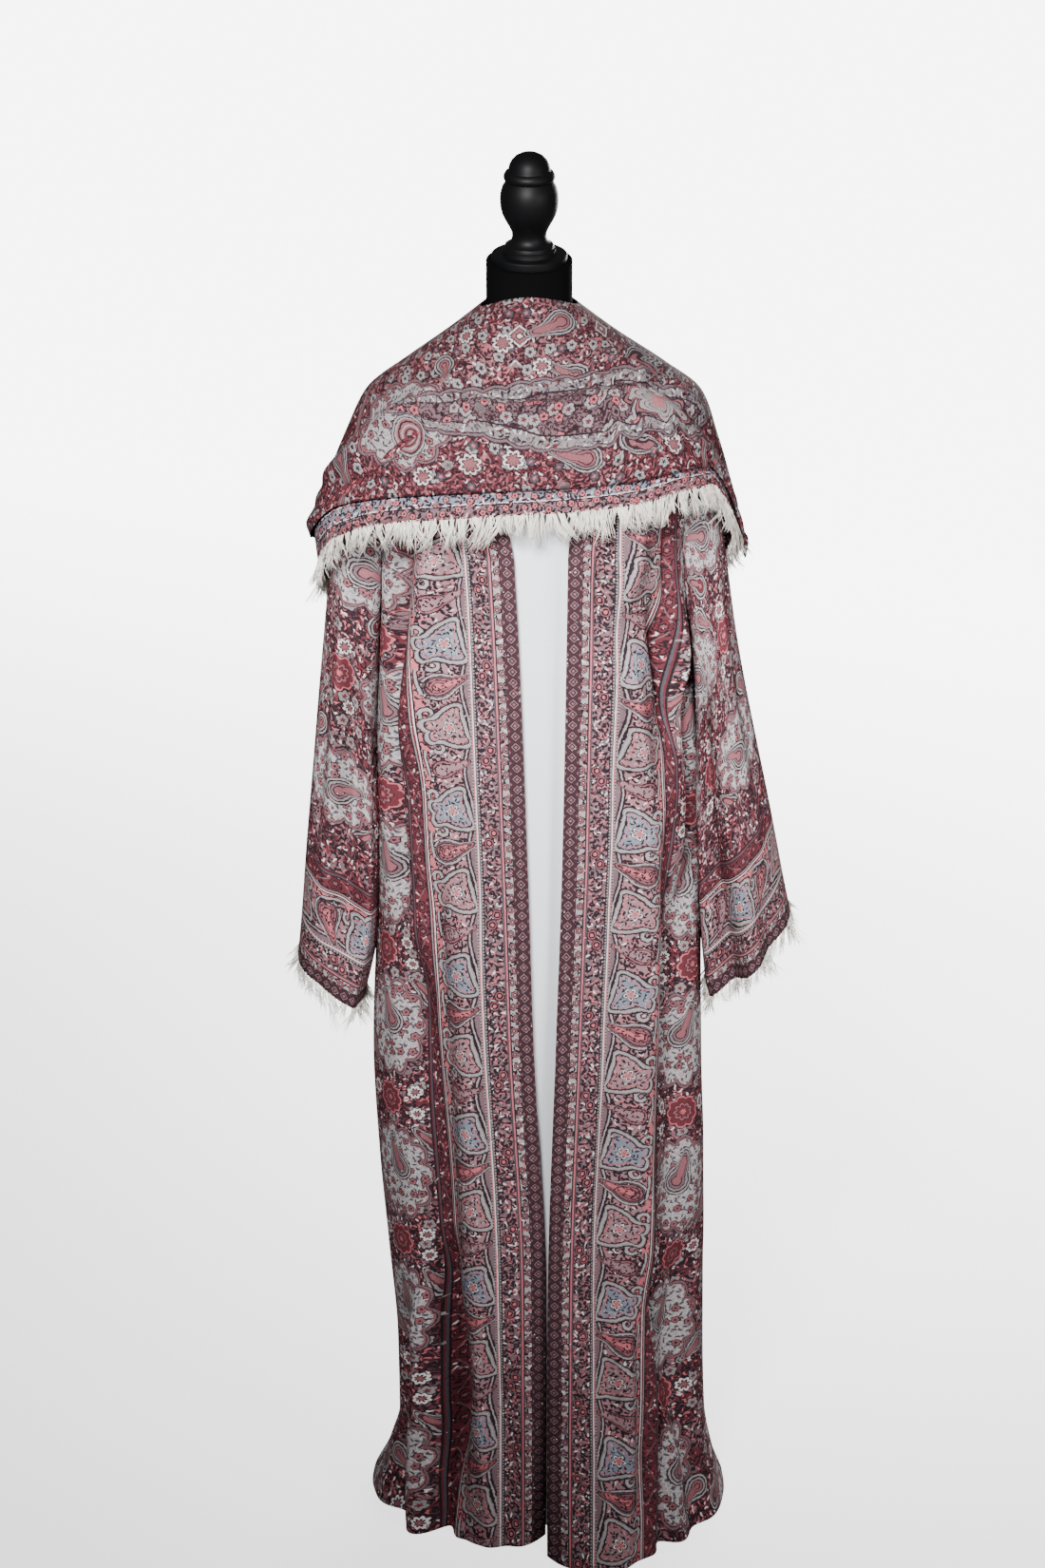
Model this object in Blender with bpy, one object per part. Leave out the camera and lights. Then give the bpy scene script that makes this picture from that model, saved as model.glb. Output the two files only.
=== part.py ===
"""Open paisley abaya with its shoulder shawl, worn by a limbless dress form on a pole.

Metres, +Z up. The origin is the middle of the base plate's underside, on the floor. The garment
faces -Y, so the wearer's left is +X. Every cloth piece is a thin wall between two grids of points:
the grids come from the tables of sections below, and each table row is one height or one step.
"""

import math

import bpy
import numpy as np

# Cloth and seams
WALL = 0.0015  # thickness of the woven cloth
SEAM = 0.0003  # gap between pieces that are sewn or laid together

# Heights of the garment's levels
YOKE = 1.250  # above this level the panels curve back to the shoulder seams
ARMHOLE_HALF = 0.175  # half the height of the armhole, whose middle is at YOKE
ARMHOLE_DEPTH = 0.055  # the armhole's widest reach to the front and to the back
NECK_SIDE = 0.062  # where the shoulder seam meets the neck
SHOULDER_TIP = 0.184  # where the shoulder seam meets the armhole
SEAM_RISE = 0.0054  # outer face of the shoulder seams above the form
NECK_FULLNESS = 0.5  # how much squarer the fronts turn over near the neck than at the armhole

# Shoulder line of the form, out from the neck
SHOULDER_COLUMNS = ("out", "height")
SHOULDER = (
    (0.049, 1.5155),
    (0.062, 1.5060),
    (0.100, 1.4800),
    (0.141, 1.4515),
    (0.170, 1.4285),
    (0.193, 1.4085),
)

# Outline of the body of the abaya: sides, front and back depths at each height
BODY_COLUMNS = ("height", "left", "right", "front_left", "front_right", "back", "middle", "boxiness")
BODY = (
    (0.000, 0.254, 0.203, 0.222, 0.172, 0.205, 0.022, 2.15),
    (0.045, 0.239, 0.182, 0.194, 0.160, 0.187, 0.022, 2.20),
    (0.110, 0.227, 0.166, 0.176, 0.154, 0.176, 0.022, 2.30),
    (0.212, 0.223, 0.167, 0.168, 0.151, 0.168, 0.022, 2.30),
    (0.345, 0.221, 0.177, 0.160, 0.149, 0.160, 0.021, 2.30),
    (0.476, 0.219, 0.187, 0.154, 0.147, 0.154, 0.020, 2.30),
    (0.605, 0.214, 0.192, 0.150, 0.145, 0.148, 0.019, 2.30),
    (0.800, 0.197, 0.173, 0.142, 0.140, 0.140, 0.018, 2.40),
    (0.950, 0.190, 0.168, 0.138, 0.136, 0.134, 0.017, 2.50),
    (1.120, 0.186, 0.171, 0.134, 0.134, 0.130, 0.015, 2.60),
    (1.250, 0.184, 0.178, 0.132, 0.132, 0.126, 0.013, 2.70),
)

# Front edges: where they lie along X, and how far they curl in behind the panel near the floor
EDGE_COLUMNS = ("height", "left", "right", "curl")
EDGE = (
    (0.000, 0.0245, 0.0195, 0.034),
    (0.100, 0.0240, 0.0198, 0.018),
    (0.230, 0.0238, 0.0200, 0.010),
    (0.358, 0.0240, 0.0192, 0.006),
    (0.658, 0.0317, 0.0057, 0.000),
    (0.897, 0.0388, -0.0022, 0.000),
    (1.126, 0.0424, -0.0110, 0.000),
    (1.270, 0.0440, -0.0187, 0.000),
)
CURL_WIDTH = 0.045

# Folds of the fronts and the back. "at" is the distance from the front edge round the panel at each
# end of the fold; a positive depth is a trough and a negative one a ridge.
FOLD_COLUMNS = ("panel", "top", "at_top", "low", "at_low", "width", "depth")
FOLDS = (
    ("left", 1.330, 0.085, 1.150, 0.062, 0.020, -0.012),
    ("left", 1.180, 0.062, 0.930, 0.104, 0.020, -0.012),
    ("left", 1.230, 0.108, 0.990, 0.140, 0.018, 0.018),
    ("left", 1.000, 0.098, 0.300, 0.120, 0.030, -0.008),
    ("left", 0.900, 0.160, 0.080, 0.185, 0.030, 0.010),
    ("left", 0.420, 0.205, -0.050, 0.225, 0.028, 0.013),
    ("right", 1.330, 0.118, 1.040, 0.185, 0.017, 0.018),
    ("right", 1.330, 0.085, 0.960, 0.140, 0.022, -0.009),
    ("right", 0.860, 0.075, 0.200, 0.085, 0.030, -0.006),
    ("right", 0.800, 0.145, 0.050, 0.128, 0.030, 0.011),
    ("right", 0.300, 0.205, -0.060, 0.215, 0.030, 0.014),
    ("back", 1.180, 0.100, -0.050, 0.080, 0.030, 0.014),
    ("back", 1.120, 0.185, -0.050, 0.180, 0.032, 0.018),
    ("back", 1.200, 0.270, -0.050, 0.285, 0.032, 0.016),
    ("back", 1.160, 0.355, -0.050, 0.390, 0.030, 0.015),
    ("back", 0.700, 0.235, -0.050, 0.232, 0.030, -0.010),
)
FOLD_FADE = 0.10  # height over which a fold fades in or out
EDGE_FADE = 0.02  # width beside a front edge that no fold moves
SIDE_FADE = 0.04  # width beside a side seam or armhole that no fold moves
OUTLINE_STEPS = 241  # points along a level's outline before it is shared out

# Sleeves: the overarm line, the underarm line and the reach to front and back, from armhole to cuff
SLEEVE_COLUMNS = ("along", "over", "over_height", "under", "under_height", "front", "back", "boxiness")
SLEEVE_LEFT = (
    (0.00, 0.186, 1.412, 0.187, 1.080, 0.056, 0.056, 2.0),
    (0.14, 0.204, 1.358, 0.193, 1.030, 0.066, 0.064, 2.2),
    (0.30, 0.225, 1.270, 0.198, 0.985, 0.072, 0.072, 2.4),
    (0.50, 0.247, 1.125, 0.203, 0.920, 0.080, 0.082, 2.6),
    (0.75, 0.284, 0.950, 0.209, 0.800, 0.090, 0.092, 2.6),
    (1.00, 0.318, 0.792, 0.221, 0.690, 0.100, 0.098, 2.4),
)
SLEEVE_RIGHT = (
    (0.00, 0.186, 1.412, 0.180, 1.080, 0.056, 0.056, 2.0),
    (0.14, 0.202, 1.358, 0.180, 1.030, 0.066, 0.064, 2.2),
    (0.30, 0.228, 1.265, 0.180, 0.980, 0.072, 0.072, 2.4),
    (0.50, 0.244, 1.120, 0.180, 0.900, 0.080, 0.080, 2.6),
    (0.75, 0.264, 0.920, 0.187, 0.780, 0.088, 0.088, 2.6),
    (1.00, 0.282, 0.737, 0.205, 0.680, 0.094, 0.092, 2.4),
)
ARMHOLE_BLEND = 0.35  # share of the sleeve over which it leaves the armhole's outline
SLEEVE_AROUND = 24
SLEEVE_FOLD_IN = 0.25  # share of the sleeve over which a fold deepens
SLEEVE_FOLD_OUT = 0.15  # share of the sleeve over which a fold fades
# Folds along the sleeves: angle round the sleeve from the overarm line towards the front
SLEEVE_FOLD_COLUMNS = ("side", "angle", "start", "stop", "width", "depth")
SLEEVE_FOLDS = (
    ("left", 118.0, 0.15, 1.10, 20.0, 0.014),
    ("left", 62.0, 0.80, 1.15, 20.0, 0.010),
    ("left", 235.0, 0.25, 1.10, 26.0, 0.012),
    ("right", 100.0, 0.20, 0.95, 22.0, 0.010),
    ("right", 75.0, 0.85, 1.15, 24.0, 0.008),
    ("right", 245.0, 0.25, 1.10, 26.0, 0.012),
)

# Shawl round the shoulders: half widths, depths and heights of its rings, from the neck outwards
SHAWL_COLUMNS = (
    "along", "left", "right", "front", "back",
    "front_height", "left_height", "right_height", "back_height", "boxiness",
)
SHAWL = (
    (0.00, 0.0560, 0.0570, 0.0650, 0.0620, 1.5360, 1.5220, 1.5190, 1.5360, 2.0),
    (0.13, 0.1020, 0.0985, 0.0900, 0.0830, 1.5020, 1.4890, 1.4890, 1.5050, 2.1),
    (0.28, 0.1610, 0.1410, 0.1180, 0.1050, 1.4620, 1.4510, 1.4600, 1.4660, 2.2),
    (0.42, 0.2010, 0.1900, 0.1400, 0.1270, 1.4220, 1.4200, 1.4225, 1.4150, 2.4),
    (0.56, 0.2190, 0.2130, 0.1520, 0.1440, 1.3870, 1.3720, 1.3760, 1.3500, 2.5),
    (0.72, 0.2365, 0.2360, 0.1600, 0.1580, 1.3540, 1.3160, 1.3200, 1.2850, 2.6),
    (0.86, 0.2490, 0.2570, 0.1660, 0.1700, 1.3120, 1.2660, 1.2700, 1.2260, 2.6),
    (1.00, 0.2580, 0.2500, 0.1700, 0.1780, 1.2700, 1.2000, 1.2000, 1.1700, 2.6),
)
# Lower edges of the shawl's two layers by angle, 0 at the front and positive towards the left arm
HEM_COLUMNS = ("angle", "upper", "under")
SHAWL_HEMS = (
    (-180.0, 1.212, 1.190),
    (-125.0, 1.222, 1.192),
    (-100.0, 1.236, 1.198),
    (-88.0, 1.250, 1.212),
    (-74.0, 1.272, 1.240),
    (-58.0, 1.304, 1.268),
    (-35.0, 1.322, 1.292),
    (0.0, 1.335, 1.307),
    (25.0, 1.343, 1.317),
    (45.0, 1.350, 1.327),
    (60.0, 1.348, 1.327),
    (72.0, 1.318, 1.298),
    (82.0, 1.262, 1.250),
    (91.0, 1.233, 1.212),
    (101.0, 1.248, 1.205),
    (125.0, 1.230, 1.196),
    (180.0, 1.212, 1.190),
)
UNDER_START = 0.52  # where the under layer begins, as a share of the shawl's rings
LAYER_GAP = 0.0050  # between the outer faces of the shawl's two layers
SHAWL_AROUND = 40
UPPER_ROWS = 10
UNDER_ROWS = 4
SHAWL_STEPS = 121  # steps from the neck outwards before a layer is cut off at its edge

# Fringe
TASSEL_ROOT = 0.003  # height of the strip that the strands hang from
STRAND_WAVE = 0.22  # how much longer or shorter the strands are than their mean
STRAND_LEAN = 0.25  # how far their tips lean along the edge, in strand widths
ROOT_GAP = 0.0005  # between a cloth edge and the root strip below it
SHAWL_STRANDS_PER_STEP = 3  # strands below each step of the shawl's edge
SHAWL_STRAND_LENGTH = 0.024
CUFF_STRANDS_PER_STEP = 2
CUFF_STRAND_LENGTH = 0.020
SWAY_PITCH = (2.4, 0.7)  # turns per strand, in radians, of the two waves that vary their length

# Pale panel inside the open fronts
PANEL_COLUMNS = ("height", "middle", "half_width", "depth")
PANEL = (
    (0.004, 0.002, 0.072, 0.124),
    (0.110, 0.002, 0.072, 0.127),
    (0.350, 0.004, 0.074, 0.131),
    (0.600, 0.012, 0.075, 0.130),
    (0.900, 0.020, 0.075, 0.1235),
    (1.120, 0.024, 0.075, 0.1210),
    (1.250, 0.026, 0.074, 0.1205),
    (1.340, 0.024, 0.066, 0.1160),
    (1.400, 0.020, 0.055, 0.1060),
)
PANEL_BEND = 2.0  # how far the panel bends back, per metre, times its width squared

# Dress form: torso sections, neck, turned finial, pole and base plate
TORSO_COLUMNS = ("height", "half_width", "front", "back")
TORSO = (
    (0.800, 0.146, 0.092, 0.094),
    (0.815, 0.152, 0.098, 0.100),
    (0.870, 0.158, 0.103, 0.108),
    (0.940, 0.150, 0.100, 0.105),
    (1.060, 0.122, 0.092, 0.086),
    (1.160, 0.140, 0.108, 0.093),
    (1.250, 0.158, 0.1175, 0.099),
    (1.330, 0.170, 0.1090, 0.097),
    (1.385, 0.178, 0.0930, 0.078),
)
TORSO_BOXINESS = 2.2
TORSO_AROUND = 32
SHOULDER_STEP_COLUMNS = ("half_width", "front", "back")
SHOULDER_STEPS = (
    (0.170, 0.072, 0.060),
    (0.141, 0.066, 0.055),
    (0.100, 0.058, 0.051),
    (0.062, 0.052, 0.050),
)
NECK_RADIUS = 0.0495
NECK_FOOT = 1.5190
NECK_TOP = 1.570
NECK_TILT = math.radians(12.0)  # how far the neck's top plate leans forward
FINIAL_COLUMNS = ("radius", "height")
FINIAL = (
    (0.0435, 0.0000),
    (0.0435, 0.0070),
    (0.0415, 0.0085),
    (0.0300, 0.0090),
    (0.0292, 0.0130),
    (0.0268, 0.0142),
    (0.0262, 0.0178),
    (0.0215, 0.0200),
    (0.0185, 0.0235),
    (0.0178, 0.0290),
    (0.0205, 0.0360),
    (0.0268, 0.0460),
    (0.0312, 0.0560),
    (0.0326, 0.0650),
    (0.0318, 0.0740),
    (0.0285, 0.0830),
    (0.0268, 0.0846),
    (0.0282, 0.0872),
    (0.0281, 0.0905),
    (0.0258, 0.0935),
    (0.0226, 0.0955),
    (0.0205, 0.1010),
    (0.0168, 0.1070),
    (0.0110, 0.1115),
    (0.0045, 0.1138),
)
FINIAL_AROUND = 22
POLE_RADIUS = 0.016
POLE_AROUND = 20
BASE_AROUND = 32
BASE_RADIUS = 0.115
BASE_HEIGHT = 0.012
BASE_BEVEL = 0.003

SHARP_ANGLE = math.radians(50.0)  # edges that turn more than this are shaded sharp

# Colours, roughness and metallic value of each material
FINISHES = {
    "paisley": ((0.47, 0.33, 0.36), 0.62, 0.0),
    "border": ((0.55, 0.42, 0.45), 0.62, 0.0),
    "fringe": ((0.78, 0.76, 0.71), 0.85, 0.0),
    "crepe": ((0.74, 0.76, 0.79), 0.70, 0.0),
    "jersey": ((0.012, 0.012, 0.013), 0.85, 0.0),
    "black_wood": ((0.015, 0.016, 0.018), 0.32, 0.0),
    "black_steel": ((0.03, 0.03, 0.032), 0.40, 0.8),
}


def smooth_step(value):
    """0 below 0, 1 above 1, and a smooth rise between."""
    held = np.clip(value, 0.0, 1.0)
    return held * held * (3.0 - 2.0 * held)


def smooth_curve(places, values, at):
    """Values between the given ones on a smooth curve that never overshoots them."""
    places, values = np.asarray(places, float), np.asarray(values, float)
    steps = np.diff(places)
    slopes = np.diff(values) / steps
    ends = np.zeros(len(places))
    ends[0], ends[-1] = slopes[0], slopes[-1]
    same_way = slopes[:-1] * slopes[1:] > 0
    total = slopes[:-1] + slopes[1:]
    ends[1:-1][same_way] = 2.0 * slopes[:-1][same_way] * slopes[1:][same_way] / total[same_way]
    at = np.clip(at, places[0], places[-1])
    i = np.clip(np.searchsorted(places, at, side="right") - 1, 0, len(steps) - 1)
    t = (at - places[i]) / steps[i]
    rise = (3.0 - 2.0 * t) * t * t
    start = t * (1.0 - t) ** 2 * ends[i]
    stop = t * t * (t - 1.0) * ends[i + 1]
    return values[i] + rise * (values[i + 1] - values[i]) + steps[i] * (start + stop)


def column(table, names, name, at):
    """A named column of a table, read at places along its first column."""
    return smooth_curve([row[0] for row in table], [row[names.index(name)] for row in table], at)


def named_rows(table, names):
    """The rows of a table with their values under the columns' names."""
    return [dict(zip(names, row)) for row in table]


def signed_power(value, power):
    return np.sign(value) * np.abs(value) ** power


def oval(angle, left, right, front, back, boxiness):
    """A rounded outline seen from above. Angle 0 is the front and a quarter turn the left (+X) side."""
    across, along = np.sin(angle), np.cos(angle)
    x = signed_power(across, 2.0 / boxiness) * np.where(across > 0, left, right)
    y = -signed_power(along, 2.0 / boxiness) * np.where(along > 0, front, back)
    return x, y


def shoulder_height(out):
    """Top of the form's shoulder at a distance out from the middle."""
    return column(SHOULDER, SHOULDER_COLUMNS, "height", np.abs(out))


def armhole_reach(height):
    """How far the armhole opens to the front and back of the side seam at a height."""
    share = np.clip((height - YOKE) / ARMHOLE_HALF, -1.0, 1.0)
    return ARMHOLE_DEPTH * np.sqrt(1.0 - share * share)


def fold_offset(panel, height, at):
    """How far in the cloth lies at a height and a distance from the front edge."""
    total = np.zeros_like(at)
    for fold in named_rows(FOLDS, FOLD_COLUMNS):
        if fold["panel"] == panel:
            top, low = fold["top"], fold["low"]
            middle = fold["at_low"] + (fold["at_top"] - fold["at_low"]) * (height - low) / (top - low)
            fade = smooth_step((top - height) / FOLD_FADE) * smooth_step((height - low) / FOLD_FADE)
            total += fold["depth"] * fade * np.exp(-(((at - middle) / fold["width"]) ** 2))
    return total


def body_row(panel, height, shares):
    """Points of one level of a front or of the back, with their distance from the panel's first edge."""
    value = {name: column(BODY, BODY_COLUMNS, name, height) for name in BODY_COLUMNS[1:]}
    middle, power = value["middle"], value["boxiness"] / 2.0
    reach = armhole_reach(height) + SEAM / 2.0
    left, right = value["left"] - middle, value["right"] + middle
    if panel == "back":
        turn = math.acos(min(1.0, (reach / value["back"]) ** power))
        angles = math.pi + np.linspace(-turn, turn, OUTLINE_STEPS)
        x, y = oval(angles, left, right, value["back"], value["back"], value["boxiness"])
    else:
        sign = 1.0 if panel == "left" else -1.0
        depth, side = (value["front_left"], left) if sign > 0 else (value["front_right"], right)
        edge = sign * (column(EDGE, EDGE_COLUMNS, panel, height) - middle)
        start = math.asin(min(1.0, max(0.0, edge / side)) ** power)
        stop = math.acos(min(1.0, (reach / depth) ** power))
        angles = sign * np.linspace(start, stop, OUTLINE_STEPS)
        x, y = oval(angles, left, right, depth, value["back"], value["boxiness"])
    x = x + middle
    run = np.concatenate([[0.0], np.cumsum(np.hypot(np.diff(x), np.diff(y)))])
    at = shares * run[-1]
    turned_left = -1.0 if panel == "right" else 1.0
    tangent = np.stack([np.gradient(x), np.gradient(y)])
    outward = np.stack([tangent[1], -tangent[0]]) * turned_left / np.linalg.norm(tangent, axis=0)
    outward = np.stack([np.interp(at, run, outward[0]), np.interp(at, run, outward[1])])
    x, y = np.interp(at, run, x), np.interp(at, run, y)
    fade = smooth_step(at / EDGE_FADE) * smooth_step((run[-1] - at) / SIDE_FADE)
    inward = fold_offset(panel, height, at) * fade
    x, y = x - outward[0] * inward, y - outward[1] * inward
    if panel != "back":
        curl = column(EDGE, EDGE_COLUMNS, "curl", height)
        y = y + curl * (1.0 - np.clip(at / CURL_WIDTH, 0.0, 1.0)) ** 2
    return np.stack([x, y, np.full_like(x, height)], axis=1), at


def yoke_row(panel, rise, shares):
    """Points of one row between YOKE (rise 0) and the shoulder seam or back neckline (rise 1)."""
    start, at = body_row(panel, YOKE, shares)
    if panel == "back":
        top_x = (1.0 - 2.0 * shares) * SHOULDER_TIP
        top_y = np.sqrt(np.maximum(0.0, NECK_SIDE**2 - top_x**2)) + SEAM / 2.0
        edge = np.abs(2.0 * shares - 1.0)
    else:
        sign = 1.0 if panel == "left" else -1.0
        top_x = sign * (NECK_SIDE + (SHOULDER_TIP - NECK_SIDE) * shares)
        top_y = np.full_like(top_x, -SEAM / 2.0)
        edge = shares
    top_z = shoulder_height(np.maximum(np.abs(top_x), NECK_SIDE)) + SEAM_RISE
    power = 2.0 + (0.0 if panel == "back" else NECK_FULLNESS) * (1.0 - edge**3)
    closing = np.maximum(0.0, 1.0 - rise**power) ** (1.0 / power)
    x = start[:, 0] + (top_x - start[:, 0]) * rise
    y = top_y + (start[:, 1] - top_y) * closing
    z = YOKE + (top_z - YOKE) * rise
    return np.stack([x, y, z], axis=1), at


def panel_grid(panel, heights, rises, shares):
    """The outer face of a front or of the back, from the hem up, as rows of points."""
    rows = [body_row(panel, height, shares)[0] for height in heights]
    rows += [yoke_row(panel, rise, shares)[0] for rise in rises]
    return np.stack(rows)


def armhole_loop(side, angles):
    """The body's armhole edge. Angle 0 is the shoulder tip and a quarter turn the front of the armhole."""
    sign = 1.0 if side == "left" else -1.0
    points = []
    for angle in angles:
        height = YOKE + ARMHOLE_HALF * math.cos(angle)
        panel = side if math.sin(angle) >= 0 else "back"
        share = 0.0 if panel == "back" and sign > 0 else 1.0
        if height > YOKE:
            tip = shoulder_height(np.array([SHOULDER_TIP]))[0] + SEAM_RISE
            row, _ = yoke_row(panel, (height - YOKE) / ARMHOLE_HALF, np.array([share, share]))
            row[0][2] = YOKE + (tip - YOKE) * (height - YOKE) / ARMHOLE_HALF
            points.append(row[0])
        else:
            row, _ = body_row(panel, height, np.array([0.0, 1.0]))
            points.append(row[-1] if share > 0 else row[0])
    points = np.array(points)
    points[:, 0] += sign * SEAM
    return points


def sleeve_grid(side, steps, around):
    """The outer face of a sleeve, from the armhole to the cuff, as closed rings of points."""
    table, sign = (SLEEVE_LEFT, 1.0) if side == "left" else (SLEEVE_RIGHT, -1.0)
    angles = np.arange(around) * 2.0 * math.pi / around
    armhole = armhole_loop(side, angles)
    rings = []
    for along in steps:
        value = {name: column(table, SLEEVE_COLUMNS, name, along) for name in SLEEVE_COLUMNS[1:]}
        ring = sleeve_ring(value, angles, sign)
        for fold in named_rows(SLEEVE_FOLDS, SLEEVE_FOLD_COLUMNS):
            if fold["side"] == side:
                apart = (np.degrees(angles) - fold["angle"] + 180.0) % 360.0 - 180.0
                deepens = smooth_step((along - fold["start"]) / SLEEVE_FOLD_IN)
                fades = smooth_step((fold["stop"] - along) / SLEEVE_FOLD_OUT)
                depth = fold["depth"] * deepens * fades * np.exp(-((apart / fold["width"]) ** 2))
                inward = ring.mean(axis=0) - ring
                inward /= np.linalg.norm(inward, axis=1)[:, None]
                ring = ring + inward * depth[:, None]
        first = {name: column(table, SLEEVE_COLUMNS, name, 0.0) for name in SLEEVE_COLUMNS[1:]}
        leave = 1.0 - smooth_step(along / ARMHOLE_BLEND)
        rings.append(ring + (armhole - sleeve_ring(first, angles, sign)) * leave)
    return np.stack(rings)


def sleeve_ring(value, angles, sign):
    """One ring of a sleeve between its overarm and underarm lines."""
    over = np.array([sign * value["over"], value["over_height"]])
    under = np.array([sign * value["under"], value["under_height"]])
    middle, half = (over + under) / 2.0, (over - under) / 2.0
    lift = signed_power(np.cos(angles), 2.0 / value["boxiness"])
    reach = signed_power(np.sin(angles), 2.0 / value["boxiness"])
    y = -reach * np.where(reach > 0, value["front"], value["back"])
    return np.stack([middle[0] + half[0] * lift, y, middle[1] + half[1] * lift], axis=1)


def shawl_point(along, angles, inset):
    """Points of the shawl's outer face at one step out from the neck, moved in by inset."""
    value = {name: column(SHAWL, SHAWL_COLUMNS, name, along) for name in SHAWL_COLUMNS[1:]}
    x, y = oval(
        angles,
        value["left"] - inset,
        value["right"] - inset,
        value["front"] - inset,
        value["back"] - inset,
        value["boxiness"],
    )
    side = np.where(np.sin(angles) > 0, value["left_height"], value["right_height"])
    end = np.where(np.cos(angles) > 0, value["front_height"], value["back_height"])
    z = end + (side - end) * np.sin(angles) ** 2
    return np.stack([x, y, z], axis=1)


def shawl_grid(layer, around, rows, start=0.0, inset=0.0):
    """The outer face of a layer of the shawl as closed rings, cut off at the layer's lower edge."""
    angles = np.arange(around) * 2.0 * math.pi / around
    degrees = (np.degrees(angles) + 180.0) % 360.0 - 180.0
    hem = column(SHAWL_HEMS, HEM_COLUMNS, layer, degrees)
    fine = np.linspace(start, 1.0, SHAWL_STEPS)
    surface = np.stack([shawl_point(along, angles, inset) for along in fine])
    grid = np.empty((rows + 1, around, 3))
    for j in range(around):
        heights = surface[:, j, 2]
        stop = np.interp(-hem[j], -heights, fine)
        at = start + (stop - start) * np.linspace(0.0, 1.0, rows + 1)
        for axis in range(3):
            grid[:, j, axis] = np.interp(at, fine, surface[:, j, axis])
    return grid


def grid_normals(grid, closed):
    """Unit normals of a grid of points, whose columns may close into a ring."""
    if closed:
        across = np.roll(grid, -1, axis=1) - np.roll(grid, 1, axis=1)
    else:
        across = np.gradient(grid, axis=1)
    down = np.gradient(grid, axis=0)
    normals = np.cross(across, down)
    return normals / np.linalg.norm(normals, axis=2)[:, :, None]


def wall(name, grid, finish, closed=False, outward=1.0, flat_edges=()):
    """A cloth piece: the grid is its outer face, and its inner face is WALL away.

    flat_edges names grid edges whose wall stays in the plane of a seam: pairs of (edge, axis), where
    the wall's direction has nothing along that axis. Gives the outer and inner points of the last row.
    """
    normals = grid_normals(grid, closed) * outward
    edges = {
        "first_row": (0, slice(None)),
        "last_row": (-1, slice(None)),
        "first_column": (slice(None), 0),
        "last_column": (slice(None), -1),
    }
    for edge, axis in flat_edges:
        part = normals[edges[edge]]
        part[:, axis] = 0.0
        normals[edges[edge]] = part / np.linalg.norm(part, axis=1)[:, None]
    rows, columns = grid.shape[:2]
    points = np.concatenate([grid.reshape(-1, 3), (grid - normals * WALL).reshape(-1, 3)])
    inner = rows * columns
    last = columns if closed else columns - 1
    faces = []
    for i in range(rows - 1):
        for j in range(last):
            k = (j + 1) % columns
            a, b = i * columns + j, i * columns + k
            c, d = a + columns, b + columns
            faces.append((a, b, d, c))
            faces.append((inner + a, inner + c, inner + d, inner + b))
    for j in range(last):
        k = (j + 1) % columns
        a, b = j, k
        faces.append((a, inner + a, inner + b, b))
        c, d = (rows - 1) * columns + j, (rows - 1) * columns + k
        faces.append((c, d, inner + d, inner + c))
    if not closed:
        for i in range(rows - 1):
            a, c = i * columns, (i + 1) * columns
            faces.append((a, c, inner + c, inner + a))
            b, d = a + columns - 1, c + columns - 1
            faces.append((b, inner + b, inner + d, d))
    solid(name, points, faces, finish)
    return points[inner - columns : inner], points[2 * inner - columns :]


def material(finish):
    """The Principled material of a finish, made once."""
    known = bpy.data.materials.get(finish)
    if known:
        return known
    colour, roughness, metallic = FINISHES[finish]
    made = bpy.data.materials.new(finish)
    made.use_nodes = True
    shader = made.node_tree.nodes["Principled BSDF"]
    shader.inputs["Base Color"].default_value = (*colour, 1.0)
    shader.inputs["Roughness"].default_value = roughness
    shader.inputs["Metallic"].default_value = metallic
    made.diffuse_color = (*colour, 1.0)
    return made


def solid(name, points, faces, finish):
    """A mesh object from points and faces, with its faces turned to point out."""
    mesh = bpy.data.meshes.new(name)
    mesh.from_pydata([tuple(map(float, p)) for p in points], [], faces)
    mesh.update()
    volume = 0.0
    for face in mesh.polygons:
        corners = [mesh.vertices[i].co for i in face.vertices]
        for second, third in zip(corners[1:-1], corners[2:]):
            volume += corners[0].dot(second.cross(third))
    if volume < 0.0:
        mesh.flip_normals()
    mesh.shade_smooth()
    mesh.set_sharp_from_angle(angle=SHARP_ANGLE)
    made = bpy.data.objects.new(name, mesh)
    mesh.materials.append(material(finish))
    bpy.context.scene.collection.objects.link(made)
    return made


def split_loop(loop, parts):
    """A closed loop of points with each of its steps cut into equal parts."""
    ahead = np.roll(loop, -1, axis=0)
    shares = np.arange(parts)[None, :, None] / parts
    return (loop[:, None] + (ahead - loop)[:, None] * shares).reshape(-1, 3)


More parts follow.
